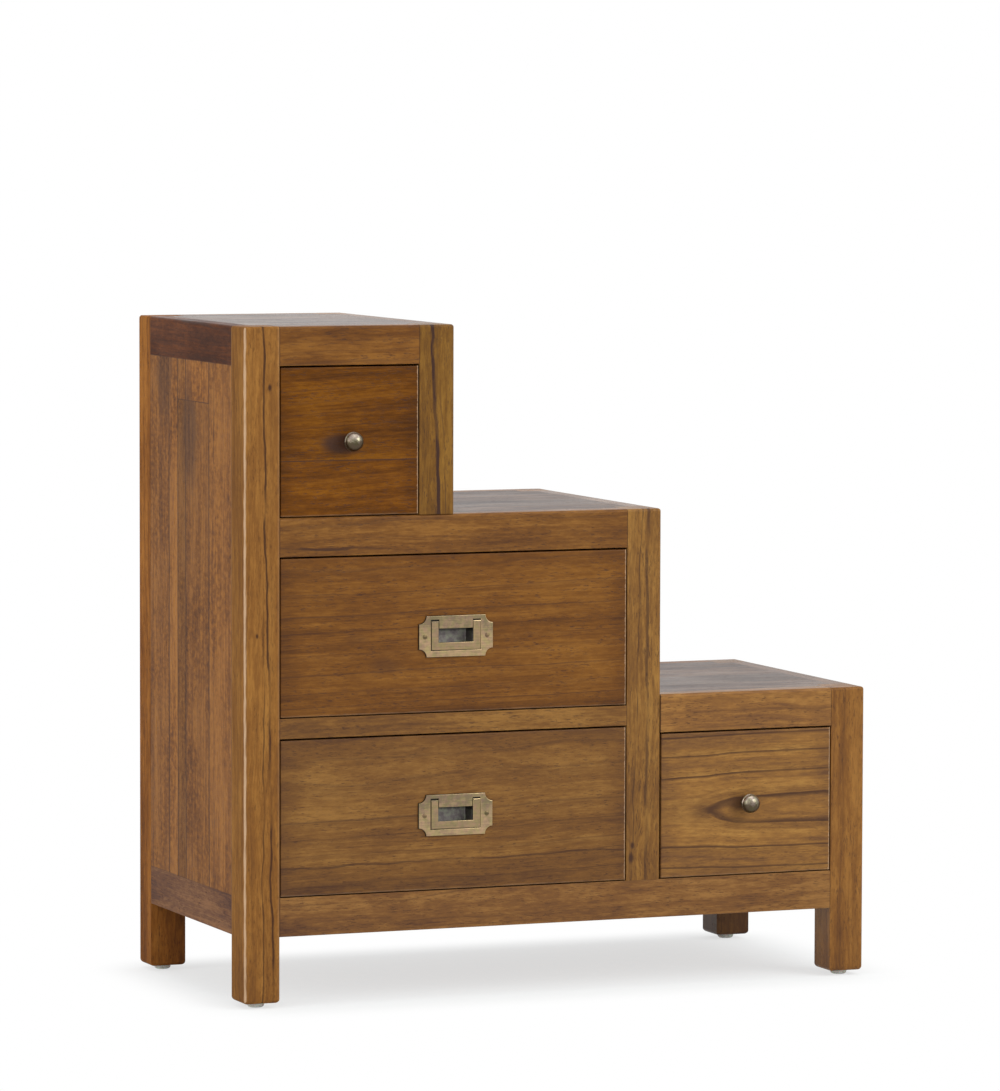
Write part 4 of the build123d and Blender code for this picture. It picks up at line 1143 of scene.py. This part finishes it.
class STEPCHEST_OT_studio(bpy.types.Operator):
    """Set up the pale floor, the softboxes and the camera"""

    bl_idname = "stepchest.studio"
    bl_label = "Set Up Studio"

    def execute(self, context):
        studio = settings("studio")
        self.floor(studio.floor)
        self.world(studio.room)
        for name, place, width in SOFTBOXES:
            self.softbox(name, Vector(place), width, getattr(studio, name.lower() + "_power"))
        self.camera(studio)
        context.scene.view_settings.view_transform = "Standard"
        return {"FINISHED"}

    def floor(self, colour):
        material, shader, place = new_material("Pale Floor")
        past = shader.vector("SUBTRACT", shader.vector("ABSOLUTE", place), SHADOW_HALF)
        past = shader.length(shader.vector("MAXIMUM", past, (0, 0, 0)))
        fade = shader.smooth(past, 0.0, FADE_WIDTH)
        grit = shader.smooth(shader.noise(place, 40.0), 0.3, 0.7, 0.97, 1.0)
        lit = shader.node("BsdfDiffuse", {"Color": shader.scaled(colour, grit)})
        plain = shader.node("Emission", {"Color": WHITE, "Strength": 1.0})
        share = shader.smooth(fade, 0.0, 1.0, FLOOR_LIFT, 1.0)
        share = shader.times(share, shader.seen_share())
        both = shader.node("MixShader", {0: share, 1: lit.outputs[0], 2: plain.outputs[0]})
        shader.output("Material", both.outputs[0])
        bm = bmesh.new()
        bmesh.ops.create_grid(bm, x_segments=1, y_segments=1, size=FLOOR_HALF)
        meshed(bm, "Floor", material)

    def world(self, room):
        world = bpy.data.worlds.new("Studio")
        bpy.context.scene.world = world
        world.use_nodes = True
        shader = Shader(world.node_tree)
        strength = shader.smooth(shader.seen_share(), 0.0, 1.0, room, 1.0)
        background = shader.node("Background", {"Color": WHITE, "Strength": strength})
        shader.output("World", background.outputs[0])

    def softbox(self, name, place, width, power):
        lamp = bpy.data.lights.new(name, "AREA")
        lamp.shape = "SQUARE"
        lamp.size = width
        lamp.energy = power
        holder = in_scene(name, lamp)
        holder.location = place
        aim = (CHEST_LOW + CHEST_HIGH) / 2 - place
        holder.rotation_euler = aim.to_track_quat("-Z", "Y").to_euler()

    def camera(self, studio):
        down, roll, turn = studio.camera_turn
        lens = bpy.data.cameras.new("Camera")
        lens.lens = studio.lens
        lens.clip_end = 100.0
        camera = in_scene("Camera", lens)
        camera.matrix_world = (
            Matrix.Translation(studio.camera_place) @ Matrix.Rotation(-turn, 4, "Z")
            @ Matrix.Rotation(math.pi / 2 + down, 4, "X") @ Matrix.Rotation(roll, 4, "Z"))
        bpy.context.scene.camera = camera


class STEPCHEST_PT_sidebar(bpy.types.Panel):
    """Lists what finishes the chest"""

    bl_idname = "STEPCHEST_PT_sidebar"
    bl_label = "Step Chest"
    bl_space_type = "VIEW_3D"
    bl_region_type = "UI"
    bl_category = "Step Chest"

    def draw(self, context):
        for operator in STEPS:
            self.layout.operator(operator.bl_idname)
        for name, group in SETTINGS.items():
            box = self.layout.box()
            box.label(text=name.title())
            for prop in group.__annotations__:
                box.prop(settings(name), prop)


STEPS = (
    STEPCHEST_OT_finish_frame,
    STEPCHEST_OT_finish_drawers,
    STEPCHEST_OT_knobs,
    STEPCHEST_OT_pulls,
    STEPCHEST_OT_glides,
    STEPCHEST_OT_studio,
)
SETTINGS = {"timber": TimberSettings, "fitting": FittingSettings, "studio": StudioSettings}


def register():
    for name, group in SETTINGS.items():
        bpy.utils.register_class(group)
        setattr(bpy.types.Scene, "step_chest_" + name, PointerProperty(type=group))
    for made in (*STEPS, STEPCHEST_PT_sidebar):
        bpy.utils.register_class(made)


def unregister():
    for made in (STEPCHEST_PT_sidebar, *reversed(STEPS)):
        bpy.utils.unregister_class(made)
    for name, group in SETTINGS.items():
        delattr(bpy.types.Scene, "step_chest_" + name)
        bpy.utils.unregister_class(group)


def main():
    register()
    bpy.ops.stepchest.finish_frame()
    bpy.ops.stepchest.finish_drawers()
    bpy.ops.stepchest.knobs()
    bpy.ops.stepchest.pulls()
    bpy.ops.stepchest.glides()
    bpy.ops.stepchest.studio()


if __name__ == "__main__":
    main()
